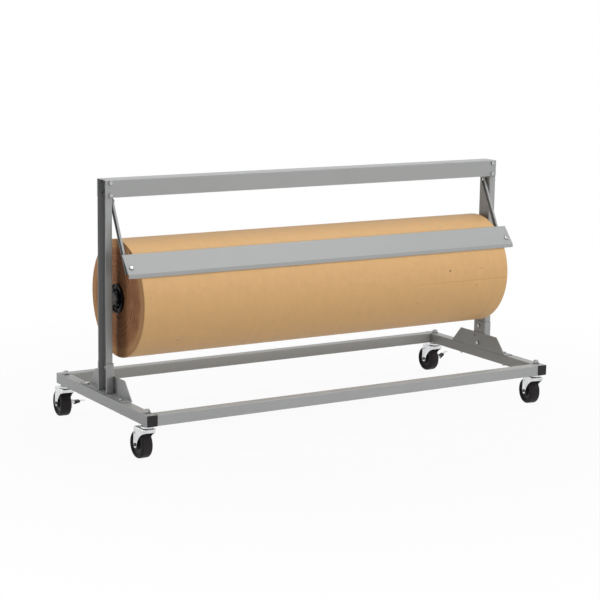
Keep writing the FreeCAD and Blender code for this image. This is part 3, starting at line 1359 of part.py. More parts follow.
def brake(corner, side, end, lift):
    pin = new_body(f"{corner}_brake_pin")
    length = "ear_gap + 2 * ear_wall"
    pin_ring = ("brake_side", BRAKE_Z, "brake_pin_diameter")
    pad(pin, outline(pin, "XZ_Plane", pin_ring), length, start=across_lever(length))
    stand(pin, corner, side, end)
    node(pin, f"{corner}_brake_pin")

    lever = new_body(f"{corner}_brake_lever")
    half = "lever_wall / 2"
    plate = [("0", f"-{half}"), ("lever_length", f"-{half}"), ("lever_length", half), ("0", half)]
    lever_start = across_lever("lever_width")
    pad(lever, outline(lever, "XZ_Plane", lifted(plate, lift)), "lever_width", start=lever_start)
    knuckle = ("brake_side", BRAKE_Z, "knuckle_diameter")
    pad(lever, outline(lever, "XZ_Plane", knuckle), "lever_width", start=lever_start)
    toe = [
        ("0", "-toe_root_above"),
        ("-toe_reach", "-toe_drop + lever_wall"),
        ("-toe_reach", "-toe_drop"),
        ("toe_root_out", "-toe_root_below"),
    ]
    pad(lever, outline(lever, "XZ_Plane", lifted(toe, lift)), "toe_width", start=across_lever("toe_width"))
    bore = ("brake_side", BRAKE_Z, "brake_pin_diameter + 2 * running_fit")
    cut(lever, outline(lever, "XZ_Plane", bore))
    stand(lever, corner, side, end)
    node(lever, f"{corner}_brake_lever")

    cover = new_body(f"{corner}_brake_pad")
    far = "(pad_start + pad_length)"
    block = [
        ("pad_start", "-pad_below"),
        (far, "-pad_end_below"),
        (far, "pad_end_above"),
        ("pad_start", "pad_above"),
    ]
    width = "lever_width + 2 * pad_wall"
    pad(cover, outline(cover, "XZ_Plane", lifted(block, lift)), width, start=across_lever(width))
    slot = rectangle(f"pad_start - {OVERLAP}", f"-{half}", f"{far} + {OVERLAP}", half)
    cut(cover, outline(cover, "XZ_Plane", lifted(slot, lift)), "lever_width", lever_start)
    stand(cover, corner, side, end)
    node(cover, f"{corner}_brake_pad")


# --- the whole stand -------------------------------------------------------------------

for side, sign in CORNERS:
    side_rail(side, sign)
    gusset_bracket(side, sign)
    post_sleeve(side, sign)
    post(side, sign)
    shaft_saddle(side, sign)
    core_plug(side, sign)
cross_rail("front_rail", -1)
cross_rail("rear_rail", 1)
rail_end_caps()
crossbar()
frame_fasteners()
saddle_fasteners()
pivot_fasteners()

hollow_roller("roll_shaft", None, "shaft_diameter", f"2 * ({SADDLE_FACE} - shaft_end_gap)")
hollow_roller("cardboard_core", "core_bore", "core_bore + 2 * core_wall", "paper_width")
hollow_roller("kraft_paper_roll", "core_bore + 2 * core_wall", "roll_diameter", "paper_width")
shaft_collars()

for side, arm_x in (("left", LEFT_ARM_X), ("right", RIGHT_ARM_X)):
    cutter_arm(side, arm_x)
    bar_bracket(side, arm_x)
cutter_bar()
cutter_blade()
cutter_fasteners()

caster_stem_pieces()
for corner, side, end, lift in CASTERS:
    fork(corner, side, end, lift is not None)
    axle(corner, side, end)
    wheel(corner, side, end)
    if lift is not None:
        brake(corner, side, end, lift)

doc.recompute()
for thing in doc.Objects:
    if "Invalid" in thing.State or "Error" in thing.State:
        raise RuntimeError(f"{thing.Label} did not compute: {thing.State}")
for thing in NODES:
    if thing.Shape.isNull() or not thing.Shape.isValid():
        raise RuntimeError(f"{thing.Label} has no valid shape")

os.makedirs("parts", exist_ok=True)
for thing in NODES:
    thing.Shape.exportStep(f"parts/{thing.Label}.step")
    print(thing.Label, len(thing.Shape.Solids), round(thing.Shape.Volume / 1000, 2), "cm3")
print(len(NODES), "nodes; cutter rest swing", round(number(REST_SWING), 3))
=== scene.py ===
"""Looks of a mobile stand that carries one wide roll of wrapping paper under a swinging cutter bar.

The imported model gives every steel, plastic and paper body in its place. This add-on finishes their
surfaces and models the pieces whose shape is finer than a folded or turned solid.
"""

import json
import math
import random

import bmesh
import bpy
from bpy.props import FloatProperty, FloatVectorProperty, IntProperty, PointerProperty
from mathutils import Matrix, Quaternion, Vector


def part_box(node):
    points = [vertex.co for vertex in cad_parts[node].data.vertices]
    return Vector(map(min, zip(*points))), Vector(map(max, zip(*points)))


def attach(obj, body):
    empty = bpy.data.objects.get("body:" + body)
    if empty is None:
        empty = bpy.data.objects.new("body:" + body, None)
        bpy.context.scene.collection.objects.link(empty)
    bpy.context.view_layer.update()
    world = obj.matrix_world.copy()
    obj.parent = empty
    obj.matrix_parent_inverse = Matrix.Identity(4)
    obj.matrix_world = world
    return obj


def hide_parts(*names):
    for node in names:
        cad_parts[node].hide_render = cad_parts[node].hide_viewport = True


bl_info = {
    "name": "Paper roll stand",
    "version": (1, 0, 0),
    "blender": (4, 5, 0),
    "location": "View3D > Sidebar > Roll Stand",
    "description": "Finishes and models a mobile paper roll stand with a cutter bar",
    "category": "Object",
}

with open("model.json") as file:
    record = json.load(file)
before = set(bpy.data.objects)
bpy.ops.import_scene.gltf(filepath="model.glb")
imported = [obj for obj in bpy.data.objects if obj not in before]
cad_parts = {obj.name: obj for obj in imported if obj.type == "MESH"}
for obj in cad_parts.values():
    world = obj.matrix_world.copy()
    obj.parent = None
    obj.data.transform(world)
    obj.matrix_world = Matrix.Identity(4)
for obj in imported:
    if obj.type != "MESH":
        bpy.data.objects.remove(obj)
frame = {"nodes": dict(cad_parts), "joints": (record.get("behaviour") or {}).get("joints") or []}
NODES = frame["nodes"]
JOINTS = {joint["name"]: joint for joint in frame["joints"]}
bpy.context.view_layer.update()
CORNERS = ("front_left", "front_right", "rear_left", "rear_right")

ROLL_LOW, ROLL_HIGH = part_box("kraft_paper_roll")
ROLL_AXIS = Vector(JOINTS["roll_spin"]["pos_m"])
ROLL_RADIUS = (ROLL_HIGH.z - ROLL_LOW.z) / 2
ROLL_HALF = (ROLL_HIGH.x - ROLL_LOW.x) / 2
CORE_LOW, CORE_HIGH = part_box("cardboard_core")
CORE_RADIUS = (CORE_HIGH.z - CORE_LOW.z) / 2
WHEEL_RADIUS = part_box("front_left_wheel")[1].z / 2

# Bark specks in the outer ply: along the roll in metres, degrees above its axis, radius.
BARK = (
    (0.495, 9.0, 0.0042),
    (-0.613, -39.6, 0.0026),
    (0.64, 9.0, 0.0022),
    (0.62, -8.4, 0.0024),
    (0.36, -24.0, 0.0024),
)
# Waves along the roll's face: radians per metre, radians at the middle, share of the depth.
FACE_WAVES = ((23, 0.0, 0.5), (61, 1.3, 0.3), (9, 0.0, 0.2))

# Width and height of each lamp, and the point that the overhead and front ones face.
OVERHEAD_SIZE = (4.0, 3.0)
FRONT_SIZE = (3.0, 1.4)
SIDE_SIZE = (0.9, 1.1)
LAMP_AIM = (0, 0, 0.4)
# The floor in metres and the camera's film in millimetres.
FLOOR_RADIUS = 9.0
FILM_WIDTH = 36.0


# ---------------------------------------------------------------- settings


def colour(name, value, description):
    """A colour setting."""
    return FloatVectorProperty(
        name=name, default=value, description=description, subtype="COLOR", size=3, min=0, max=1
    )


def length(name, value, description):
    """A length setting, in metres."""
    return FloatProperty(name=name, default=value, description=description, unit="LENGTH", precision=5)


def share(name, value, description):
    """A setting from 0 to 1."""
    return FloatProperty(
        name=name, default=value, description=description, subtype="FACTOR", min=0, max=1
    )


def amount(name, value, description, unit="NONE"):
    """A setting of 0 or more."""
    return FloatProperty(name=name, default=value, description=description, min=0, unit=unit)


def turn(name, degrees, description):
    """An angle setting, given in degrees."""
    return FloatProperty(
        name=name, default=math.radians(degrees), description=description, subtype="ANGLE"
    )


def point(name, value, description):
    """A place in the room, in metres."""
    return FloatVectorProperty(
        name=name, default=value, description=description, subtype="XYZ", unit="LENGTH"
    )


def count(name, value, least, description):
    """A whole number."""
    return IntProperty(name=name, default=value, min=least, description=description)


class SteelPaint(bpy.types.PropertyGroup):
    """Satin grey powder coat on the folded and welded steel."""

    tone: colour("Paint", (0.333, 0.341, 0.337), "Colour of the powder coat")
    gloss: share("Roughness", 0.42, "Roughness of the powder coat")
    peel: length("Orange peel", 0.00006, "Height of the ripple in the coat")
    edge: length("Edge softness", 0.0009, "Radius over which the coat rounds a sheared edge")
    # Painted shade: the width over which the coat is darkened where pieces meet.
    joint: length("Joint lines", 0.004, "Width of the dark lines where pieces meet")


class Kraft(bpy.types.PropertyGroup):
    """The roll of brown wrapping paper."""

    face: colour("Paper", (0.62, 0.372, 0.157), "Colour of the paper's face")
    flake: colour("Fibre", (0.41, 0.225, 0.085), "Colour of the darker fibres")
    cut: colour("Cut edges", (0.4, 0.178, 0.076), "Colour of the wound edges at the ends")
    shade: colour("Deep edges", (0.225, 0.093, 0.04), "Colour between the wound edges")
    outer: colour("Outer plies", (0.53, 0.292, 0.13), "Colour of the edges of the last plies")
    speck: colour("Specks", (0.1, 0.045, 0.015), "Colour of the bark specks")
    outer_depth: length("Outer plies", 0.034, "Thickness of the lighter plies outside")
    rim: length("Rim", 0.003, "Rounding of the roll's outer edge")
    telescoping: length("Uneven winding", 0.0007, "How far plies stand back from the end")
    waves: length("Waves", 0.00018, "Depth of the soft bands round the roll")
    crease: length("Crease", -0.0075, "Height of the ply's end above the roll's axis")
    plies: count("Ply groups", 46, 8, "Groups of plies at an end")
    winding: count("Winding", 5, 0, "Which of the random windings the roll has")
    around: count("Segments", 192, 32, "Segments round the roll")


class Metal(bpy.types.PropertyGroup):
    """Bare and plated metal."""

    zinc: colour("Fork zinc", (0.86, 0.86, 0.85), "Bright zinc plate of the forks")
    tint: colour("Fork passivation", (0.5, 0.515, 0.54), "Cooler patches in the zinc of the forks")
    # Painted reflection: the bolt zinc is darker than the fork zinc, and its darker patches deepen this,
    # for the dark surroundings that domed heads reflect.
    bolt_zinc_and_painted_reflection: colour("Bolt zinc", (0.68, 0.68, 0.67), "Zinc plate of bolts, nuts and washers")
    bolt_tint: colour("Bolt passivation", (0.26, 0.265, 0.28), "Darker patches on bolts and nuts")
    steel: colour("Steel", (0.56, 0.56, 0.55), "Turned steel of the shaft")
    blade: colour("Blade", (0.66, 0.66, 0.65), "Ground steel of the blade")
    black: colour("Blackened steel", (0.07, 0.066, 0.062), "Oiled black axles and collars")
    black_tint: colour("Worn black", (0.13, 0.125, 0.12), "Rubbed patches of the black steel")
    edge: length("Edge softness", 0.0004, "Radius over which an edge catches the light")


class Black(bpy.types.PropertyGroup):
    """Moulded black parts."""

    plastic: colour("Plastic", (0.0085, 0.008, 0.0085), "Moulded plastic of caps and plugs")
    plug: colour("Core plugs", (0.0042, 0.0038, 0.0038), "Moulded plugs in the roll's core")
    rubber: colour("Tyre", (0.028, 0.0248, 0.0275), "Tyres of the casters")
    core: colour("Wheel core", (0.013, 0.0118, 0.0126), "Moulded cores of the wheels")
    edge: length("Edge softness", 0.0005, "Radius of the moulded edges")


class Wheel(bpy.types.PropertyGroup):
    """One caster wheel, as wide and high as its solid."""

    radius: length("Radius", WHEEL_RADIUS, "Outside of the tyre")
    tread: length("Tread width", 0.041, "Width of the tyre")
    shoulder: length("Shoulder", 0.008, "Rounded shoulder of the tyre")
    bead: length("Bead", 0.0355, "Radius where the tyre meets the core")
    hub: length("Hub", 0.0135, "Radius of the hub")
    hub_width: length("Hub width", 0.042, "Width of the hub")
    bore: length("Bore", 0.006, "Radius of the steel sleeve in the hub")
    groove_inner: length("Groove inside", 0.017, "Inner radius of the side groove")
    groove_outer: length("Groove outside", 0.033, "Outer radius of the side groove")
    groove_depth: length("Groove depth", 0.005, "Depth of the side groove")
    step: length("Step", 0.0012, "Steps and draft of the moulding")
    segments: count("Segments", 96, 24, "Segments round the wheel")


class Weld(bpy.types.PropertyGroup):
    """Weld beads in the corners of the base."""

    radius: length("Bead radius", 0.0028, "Radius of a bead")
    pitch: length("Ripple pitch", 0.0024, "Distance between the ripples of a bead")
    ripple: share("Ripple", 0.16, "Depth of the ripples as a share of the radius")
    margin: length("Margin", 0.003, "How far a bead ends inside the tube's edges")


class Studio(bpy.types.PropertyGroup):
    """Floor, light and camera."""

    floor: colour("Floor", (0.56, 0.56, 0.56), "Colour of the floor")
    glow: share("Shadow fade", 0.94, "How much of the floor's shadow is faded to white")
    clear: length("Shadow reach", 0.9, "Distance from which the floor fades to white")
    faded: length("White floor", 2.2, "Distance from which the floor is white")
    sky: amount("Sky", 0.43, "Strength of the light all round")
    lean: amount("Lean", 2.2, "How much more light comes from the right than from the left")
    key: amount("Key lamp", 70, "Power of the lamp overhead", "POWER")
    key_place: point("Key place", (0.1, -0.6, 3.5), "Place of the lamp overhead")
    fill: amount("Fill lamp", 235, "Power of the low lamp in front", "POWER")
    fill_place: point("Fill place", (2.0, -8.2, 0.8), "Place of the low lamp in front")
    side: amount("Side lamp", 19.5, "Power of the lamp behind the left end", "POWER")
    side_place: point("Side place", (-2.6, 1.2, 0.7), "Place of the lamp behind the left end")
    eye: point("Camera", (-3.3509, -5.3719, 1.5838), "Place of the camera")
    azimuth: turn("Azimuth", -31.71, "Camera azimuth")
    elevation: turn("Elevation", 10.45, "Camera elevation")
    tilt: turn("Roll", 0.9, "Camera roll")
    lens: FloatProperty(name="Lens", default=106.0, unit="CAMERA", description="Focal length in mm")


class StandSettings(bpy.types.PropertyGroup):
    """Everything that a user would change."""

    paint: PointerProperty(type=SteelPaint)
    kraft: PointerProperty(type=Kraft)
    metal: PointerProperty(type=Metal)
    black: PointerProperty(type=Black)
    wheel: PointerProperty(type=Wheel)
    weld: PointerProperty(type=Weld)
    studio: PointerProperty(type=Studio)


# ---------------------------------------------------------------- shading


# Numbers of the outputs that are read from nodes with several.
X, Y, Z = 0, 1, 2
DIRECTION, OBJECT_PLACE = 0, 3
CAMERA_RAY, GLOSSY_RAY, THROUGH_RAY = 0, 3, 6
VECTOR_LENGTH = 1
CELL_COLOUR = 1
OPENNESS = 1
MIXED_COLOUR = 2


class Wire:
    """One output socket. Arithmetic on it adds Math nodes to its node tree."""

    def __init__(self, graph, socket):
        self.graph = graph
        self.socket = socket

    def maths(self, operation, first, second=0.0):
        return self.graph.add("ShaderNodeMath", {"operation": operation}, {0: first, 1: second})

    def __add__(self, other):
        return self.maths("ADD", self, other)

    def __radd__(self, other):
        return self.maths("ADD", other, self)

    def __sub__(self, other):
        return self.maths("SUBTRACT", self, other)

    def __rsub__(self, other):
        return self.maths("SUBTRACT", other, self)

    def __mul__(self, other):
        return self.maths("MULTIPLY", self, other)

    def __rmul__(self, other):
        return self.maths("MULTIPLY", other, self)

    def __lt__(self, other):
        return self.maths("LESS_THAN", self, other)

    def __abs__(self):
        return self.maths("ABSOLUTE", self)

    def at_least(self, other):
        return self.maths("MAXIMUM", self, other)


class Graph:
    """A node tree that is put together node by node."""

    def __init__(self, tree):
        self.tree = tree

    def add(self, kind, settings=None, values=None, output=0):
        """Adds a node, sets its settings, then the values or links of its sockets."""
        node = self.tree.nodes.new(kind)
        for name, value in (settings or {}).items():
            setattr(node, name, value)
        sockets = {socket.identifier: socket for socket in node.inputs}
        for key, value in (values or {}).items():
            socket = node.inputs[key] if isinstance(key, int) else sockets[key]
            if isinstance(value, Wire):
                self.tree.links.new(value.socket, socket)
            else:
                socket.default_value = value
        return Wire(self, node.outputs[output])

    def span(self, value, low, high, to_low=0.0, to_high=1.0):
        """A value mapped from one range to another and kept inside it."""
        values = {"Value": value, "From Min": low, "From Max": high, "To Min": to_low, "To Max": to_high}
        return self.add("ShaderNodeMapRange", values=values)

    def axis(self, vector, output):
        """One of the three numbers of a vector."""
        return self.add("ShaderNodeSeparateXYZ", values={"Vector": vector}, output=output)

    def seen_directly(self):
        """1 for rays from the camera, from a mirror-like surface or through glass."""
        rays = (CAMERA_RAY, GLOSSY_RAY, THROUGH_RAY)
        camera, glossy, through = (self.add("ShaderNodeLightPath", output=ray) for ray in rays)
        return camera.at_least(glossy).at_least(through)


class Finish(Graph):
    """A material with one Principled surface."""

    def __init__(self, name, constants):
        self.material = bpy.data.materials.new(name)
        self.material.use_nodes = True
        super().__init__(self.material.node_tree)
        self.surface = self.tree.nodes["Principled BSDF"]
        for socket, value in constants.items():
            self.surface.inputs[socket].default_value = value

    def feed(self, socket, wire):
        self.tree.links.new(wire.socket, self.surface.inputs[socket])

    def place(self):
        """Object coordinates, in metres."""
        return self.add("ShaderNodeTexCoord", output=OBJECT_PLACE)

    def scaled(self, vector, scale):
        """A vector times a number for each axis."""
        return self.add("ShaderNodeVectorMath", {"operation": "MULTIPLY"}, {0: vector, 1: scale})

    def minus(self, vector, origin):
        """A vector measured from an origin."""
        return self.add("ShaderNodeVectorMath", {"operation": "SUBTRACT"}, {0: vector, 1: origin})

    def size_of(self, vector):
        """The length of a vector."""
        settings = {"operation": "LENGTH"}
        return self.add("ShaderNodeVectorMath", settings, {0: vector}, output=VECTOR_LENGTH)

    def noise(self, vector, per_metre, detail=2.0, rough=0.5):
        """Soft random values from 0 to 1."""
        values = {"Vector": vector, "Scale": per_metre, "Detail": detail, "Roughness": rough}
        return self.add("ShaderNodeTexNoise", values=values)

    def lines(self, value, per_metre, detail=2.0):
        """Random values along one direction only."""
        values = {"W": value, "Scale": per_metre, "Detail": detail}
        return self.add("ShaderNodeTexNoise", {"noise_dimensions": "1D"}, values)

    def spots(self, vector, per_metre, radius, chance):
        """1 in round spots of a radius in metres: one in some cells of a grid, by chance."""
        values = {"Vector": vector, "Scale": per_metre}
        away = self.add("ShaderNodeTexVoronoi", values=values)
        pick = self.axis(self.add("ShaderNodeTexVoronoi", values=values, output=CELL_COLOUR), X)
        in_cells = radius * per_metre
        ragged = self.noise(vector, 2 / radius) * in_cells
        edge = self.span(away + ragged, in_cells, 1.6 * in_cells, 1.0, 0.0)
        return edge * (pick < chance)

    def blend(self, share_of_second, first, second):
        """A colour between two others."""
        first = first if isinstance(first, Wire) else (*first, 1)
        second = second if isinstance(second, Wire) else (*second, 1)
        values = {"Factor_Float": share_of_second, "A_Color": first, "B_Color": second}
        return self.add("ShaderNodeMix", {"data_type": "RGBA"}, values, output=MIXED_COLOUR)

    def painted_crevice_shade(self, unshaded_colour, crevice_shade_colour, reach, most):
        """A colour with painted shade where surfaces meet within a reach, darkened up to a largest share
        towards the shade colour.
        """
        values = {"Distance": reach}
        # Painted shade: ambient occlusion darkens the colour in corners and in gaps between parts.
        openness = self.add("ShaderNodeAmbientOcclusion", {"samples": 8}, values, output=OPENNESS)
        return self.blend(self.span(openness, 0.45, 0.95, most, 0.0), unshaded_colour, crevice_shade_colour)

    def relief(self, height, distance, normal=None):
        """A bump whose height of 1 stands for a distance in metres."""
        values = {"Height": height, "Distance": distance, "Strength": 1.0}
        if normal is not None:
            values["Normal"] = normal
        return self.add("ShaderNodeBump", values=values)

    def soft_edge(self, radius):
        """A normal that rounds every edge over a radius."""
        return self.add("ShaderNodeBevel", {"samples": 4}, {"Radius": radius})


def tinted(value, factor):
    """A colour made lighter or darker."""
    return tuple(min(1.0, part * factor) for part in value)


def paint_finish(paint):
    """Satin powder coat: a slow drift of tone, orange peel, softened edges and painted shade where pieces
    meet.
    """
    finish = Finish("grey_powder_coat", {"Roughness": paint.gloss, "IOR": 1.5})
    place = finish.place()
    drift = finish.noise(place, per_metre=5, detail=3)
    grain = finish.noise(place, per_metre=700, rough=0.6)
    tone = drift * 0.7 + grain * 0.3
    unshaded_colour = finish.blend(tone, tinted(paint.tone, 0.93), tinted(paint.tone, 1.07))
    # Painted shade: the coat is darkened where pieces meet, over the joint-line width.
    finish.feed("Base Color", finish.painted_crevice_shade(unshaded_colour, tinted(paint.tone, 0.25), paint.joint, most=0.75))
    finish.feed("Roughness", finish.span(grain + drift, 0.6, 1.4, paint.gloss - 0.06, paint.gloss + 0.07))
    peel = finish.noise(place, per_metre=420, detail=1.5)
    finish.feed("Normal", finish.relief(peel, paint.peel, finish.soft_edge(paint.edge)))
    return finish.material


def metal_finish(name, bright, tint, roughness, edge, spangle):
    """Plated or blackened metal with patches of tone, scuffs, painted shade where pieces meet and edges
    that catch the light.
    """
    finish = Finish(name, {"Metallic": 1.0, "Roughness": roughness})
    place = finish.place()
    patches = finish.noise(place, per_metre=spangle, detail=3, rough=0.6)
    grain = finish.noise(place, per_metre=260, detail=3, rough=0.65)
    tone = finish.span(patches * 0.6 + grain * 0.4, 0.3, 0.7)
    unshaded_colour = finish.blend(tone, tint, bright)
    # Painted shade: darkened where pieces meet, within ten times the edge radius.
    finish.feed("Base Color", finish.painted_crevice_shade(unshaded_colour, tinted(tint, 0.2), 10 * edge, most=0.8))
    finish.feed("Roughness", finish.span(grain, 0.3, 0.7, roughness - 0.07, roughness + 0.1))
    finish.feed("Normal", finish.relief(grain, 0.00002, finish.soft_edge(edge)))
    return finish.material


def turned_finish(name, tone, roughness, edge):
    """Steel with fine tool marks across the X axis."""
    finish = Finish(name, {"Metallic": 1.0, "Roughness": roughness})
    place = finish.place()
    marks = finish.lines(finish.axis(place, X), per_metre=2600, detail=3)
    patches = finish.noise(place, per_metre=30, detail=3)
    finish.feed("Base Color", finish.blend(marks, tinted(tone, 0.88), tinted(tone, 1.1)))
    finish.feed("Roughness", finish.span(patches + marks, 0.6, 1.4, roughness - 0.06, roughness + 0.09))
    finish.feed("Normal", finish.relief(marks, 0.00003, finish.soft_edge(edge)))
    return finish.material


def moulded_finish(name, tone, edge, roughness, texture, sheen):
    """Black plastic or rubber with a moulded texture of some height and a little dust."""
    finish = Finish(name, {"Roughness": roughness, "IOR": 1.45, "Specular IOR Level": sheen})
    place = finish.place()
    cloud = finish.noise(place, per_metre=45, detail=4, rough=0.6)
    grain = finish.noise(place, per_metre=1500, detail=1.5)
    dust = finish.span(cloud, 0.5, 0.8, 0, 0.6)
    finish.feed("Base Color", finish.blend(dust, tone, tinted(tone, 2.2)))
    finish.feed("Roughness", finish.span(cloud + grain, 0.7, 1.3, roughness - 0.05, roughness + 0.1))
    finish.feed("Normal", finish.relief(grain, texture, finish.soft_edge(edge)))
    return finish.material


def from_roll_axis(finish):
    """Object coordinates measured from the axis of the roll."""
    return finish.minus(finish.place(), (0, ROLL_AXIS.y, ROLL_AXIS.z))


def paper_finish(kraft):
    """Brown wrapping paper: streaks both ways, fibres, clouds, bark specks and the ply's end."""
    finish = Finish("kraft_face", {"Roughness": 0.55, "IOR": 1.45, "Specular IOR Level": 0.6})
    place = from_roll_axis(finish)
    bands = finish.noise(finish.scaled(place, (1, 0.02, 0.02)), per_metre=42, detail=3, rough=0.7)
    around = finish.noise(finish.scaled(place, (1, 0.12, 0.12)), per_metre=420, detail=3, rough=0.6)
    across = finish.noise(finish.scaled(place, (0.12, 1, 1)), per_metre=420, detail=3, rough=0.6)
    fibres = finish.noise(finish.scaled(place, (1, 0.4, 0.4)), per_metre=1700, detail=3, rough=0.7)
    clouds = finish.noise(place, per_metre=34, detail=4, rough=0.65)
    streaks = around * 0.5 + across * 0.5
    tone = bands * 0.16 + streaks * 0.26 + fibres * 0.2 + clouds * 0.38
    face = finish.blend(finish.span(tone, 0.36, 0.64), tinted(kraft.face, 0.93), tinted(kraft.face, 1.07))
    face = finish.blend(finish.span(fibres, 0.62, 0.85, 0, 0.3), face, kraft.flake)
    face = specked(finish, place, face, clouds, kraft)
    line, step = ply_end(finish, place, kraft.crease)
    finish.feed("Base Color", finish.blend(line * 0.4, face, kraft.flake))
    finish.feed("Roughness", finish.span(fibres + clouds, 0.7, 1.3, 0.48, 0.64))
    swell = finish.relief(bands, 0.0005)
    lapped = finish.relief(step, 0.0005, swell)
    finish.feed("Normal", finish.relief(fibres * 0.6 + streaks * 0.4, 0.00005, lapped))
    return finish.material


def specked(finish, place, face, clouds, kraft):
    """The paper's face with smudges, scattered small specks and the few large bark specks."""
    smudges = finish.spots(place, per_metre=7, radius=0.004, chance=0.5)
    face = finish.blend(smudges * 0.5, face, kraft.flake)
    specks = finish.spots(place, per_metre=16, radius=0.0018, chance=0.35)
    face = finish.blend(specks * 0.8, face, kraft.speck)
    for along, degrees, radius in BARK:
        angle = math.radians(degrees)
        spot = (along, -ROLL_RADIUS * math.cos(angle), ROLL_RADIUS * math.sin(angle))
        away = finish.size_of(finish.minus(place, spot)) + clouds * (radius / 2)
        face = finish.blend(finish.span(away, 0.8 * radius, 1.4 * radius, 0.9, 0.0), face, kraft.speck)
    return face


def ply_end(finish, place, crease):
    """The end of the last ply across the front, clearest at the right: its line and its step."""
    along = finish.axis(place, X)
    wander = finish.lines(along, per_metre=14, detail=3) * 0.004
    height = finish.axis(place, Z) + wander
    front = finish.axis(place, Y) < 0
    right = finish.span(along, 0.25, 0.55, 0.12, 1.0)
    line = finish.span(abs(height - crease), 0.0004, 0.0022, 1.0, 0.0)
    step = finish.span(height, crease - 0.001, crease + 0.001)
    return line * front * right, step * front * right


def wound_finish(kraft):
    """The wound edges of the paper at the roll's ends: fine rings, smears and lighter outer plies."""
    constants = {"Roughness": 0.75, "IOR": 1.4, "Specular IOR Level": 0.25}
    finish = Finish("kraft_wound_edges", constants)
    place = from_roll_axis(finish)
    radius = finish.size_of(finish.scaled(place, (0, 1, 1)))
    rings = finish.lines(radius, per_metre=1500, detail=3)
    groups = finish.lines(radius, per_metre=130, detail=4)
    smear = finish.noise(finish.scaled(place, (0.2, 1, 1)), per_metre=22, detail=5, rough=0.65)
    blots = finish.noise(place, per_metre=90, detail=3)
    tone = finish.span(rings * 0.2 + groups * 0.3 + smear * 0.3 + blots * 0.2, 0.38, 0.62)
    edges = finish.blend(tone, kraft.shade, kraft.cut)
    start = ROLL_RADIUS - kraft.outer_depth
    outer = finish.span(radius + smear * 0.012, start, start + 0.012, 0.0, 0.85)
    wear = finish.span(groups, 0.35, 0.65, 0.55, 1.0)
    finish.feed("Base Color", finish.blend(outer * wear, edges, kraft.outer))
    finish.feed("Normal", finish.relief(rings * 0.6 + groups * 0.4, 0.0005))
    return finish.material


def board_finish(kraft):
    """Spiral wound grey board of the core."""
    finish = Finish("core_board", {"Roughness": 0.75})
    place = from_roll_axis(finish)
    radius = finish.size_of(finish.scaled(place, (0, 1, 1)))
    plies = finish.lines(radius, per_metre=1700, detail=1)
    cloud = finish.noise(place, per_metre=120, detail=4, rough=0.6)
    tone = plies * 0.6 + cloud * 0.4
    finish.feed("Base Color", finish.blend(tone, tinted(kraft.cut, 0.8), tinted(kraft.face, 0.8)))
    finish.feed("Normal", finish.relief(plies + cloud, 0.00012))
    return finish.material


# ---------------------------------------------------------------- modelling


def coat(slots, material):
    """Gives every model node whose packed material is one of the slots a new material."""
    for node in NODES.values():
        place = node.material_slots[0]
        if place.material and place.material.name in slots:
            place.material = material


def spun(points, steps):
    """A solid of revolution about X from a closed outline of (along, radius) points."""
    shape = bmesh.new()
    corners = [shape.verts.new((along, 0, radius)) for along, radius in points]
    for start, end in zip(corners, corners[1:] + corners[:1]):
        shape.edges.new((start, end))
    bmesh.ops.spin(
        shape, geom=shape.verts[:] + shape.edges[:], cent=(0, 0, 0), axis=(1, 0, 0), dvec=(0, 0, 0),
        angle=math.tau, space=Matrix.Identity(4), steps=steps, use_merge=True,
        use_normal_flip=False, use_duplicate=False,
    )
    bmesh.ops.remove_doubles(shape, verts=shape.verts, dist=1e-7)
    bmesh.ops.recalc_face_normals(shape, faces=shape.faces)
    return shape


def mirrored(points):
    """A closed outline from its right half, given from the outside in."""
    return points + [(-along, radius) for along, radius in points[::-1]]


def piece(name, shape, place, materials, body, sharp=35):
    """Turns a bmesh into a finished piece: in place, shaded and riding on its body."""
    bmesh.ops.transform(shape, matrix=place, verts=shape.verts)
    mesh = bpy.data.meshes.new(name)
    shape.to_mesh(mesh)
    shape.free()
    for face in mesh.polygons:
        face.use_smooth = True
    mesh.set_sharp_from_angle(angle=math.radians(sharp))
    obj = bpy.data.objects.new(name, mesh)
    bpy.context.scene.collection.objects.link(obj)
    for material in materials:
        mesh.materials.append(material)
    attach(obj, body)
    return obj


def arc(centre, radius, start, end, steps):
    """Points of an arc in the (along, radius) plane, from one angle to another in degrees."""
    turns = [math.radians(start + (end - start) * step / steps) for step in range(steps + 1)]
    return [(centre[0] + radius * math.cos(angle), centre[1] + radius * math.sin(angle)) for angle in turns]


def laid_on(direction, origin):
    """The matrix that lays local X along a direction, with the origin at a point."""
    rotation = Vector((1, 0, 0)).rotation_difference(Vector(direction).normalized())
    return Matrix.Translation(Vector(origin)) @ rotation.to_matrix().to_4x4()


def bead_outline(weld, half, radius):
    """(along, radius) points of a rippled weld bead with rounded ends."""
    ripples = round(2 * half / weld.pitch)
    per_ripple = 4
    points = [(-half, 0.0)]
    for step in range(1, ripples * per_ripple):
        along = -half + 2 * half * step / (ripples * per_ripple)
        ripple = 1 - weld.ripple * abs(math.cos(math.pi * step / per_ripple))
        ending = min(1.0, (half - abs(along)) / radius)
        points.append((along, radius * ripple * math.sqrt(ending * (2 - ending))))
    return points + [(half, 0.0)]


# ---------------------------------------------------------------- operators


class StepOperator:
    """What the operators share."""

    bl_options = {"REGISTER", "UNDO"}

    def execute(self, context):
        self.build(context.scene.roll_stand)
        return {"FINISHED"}


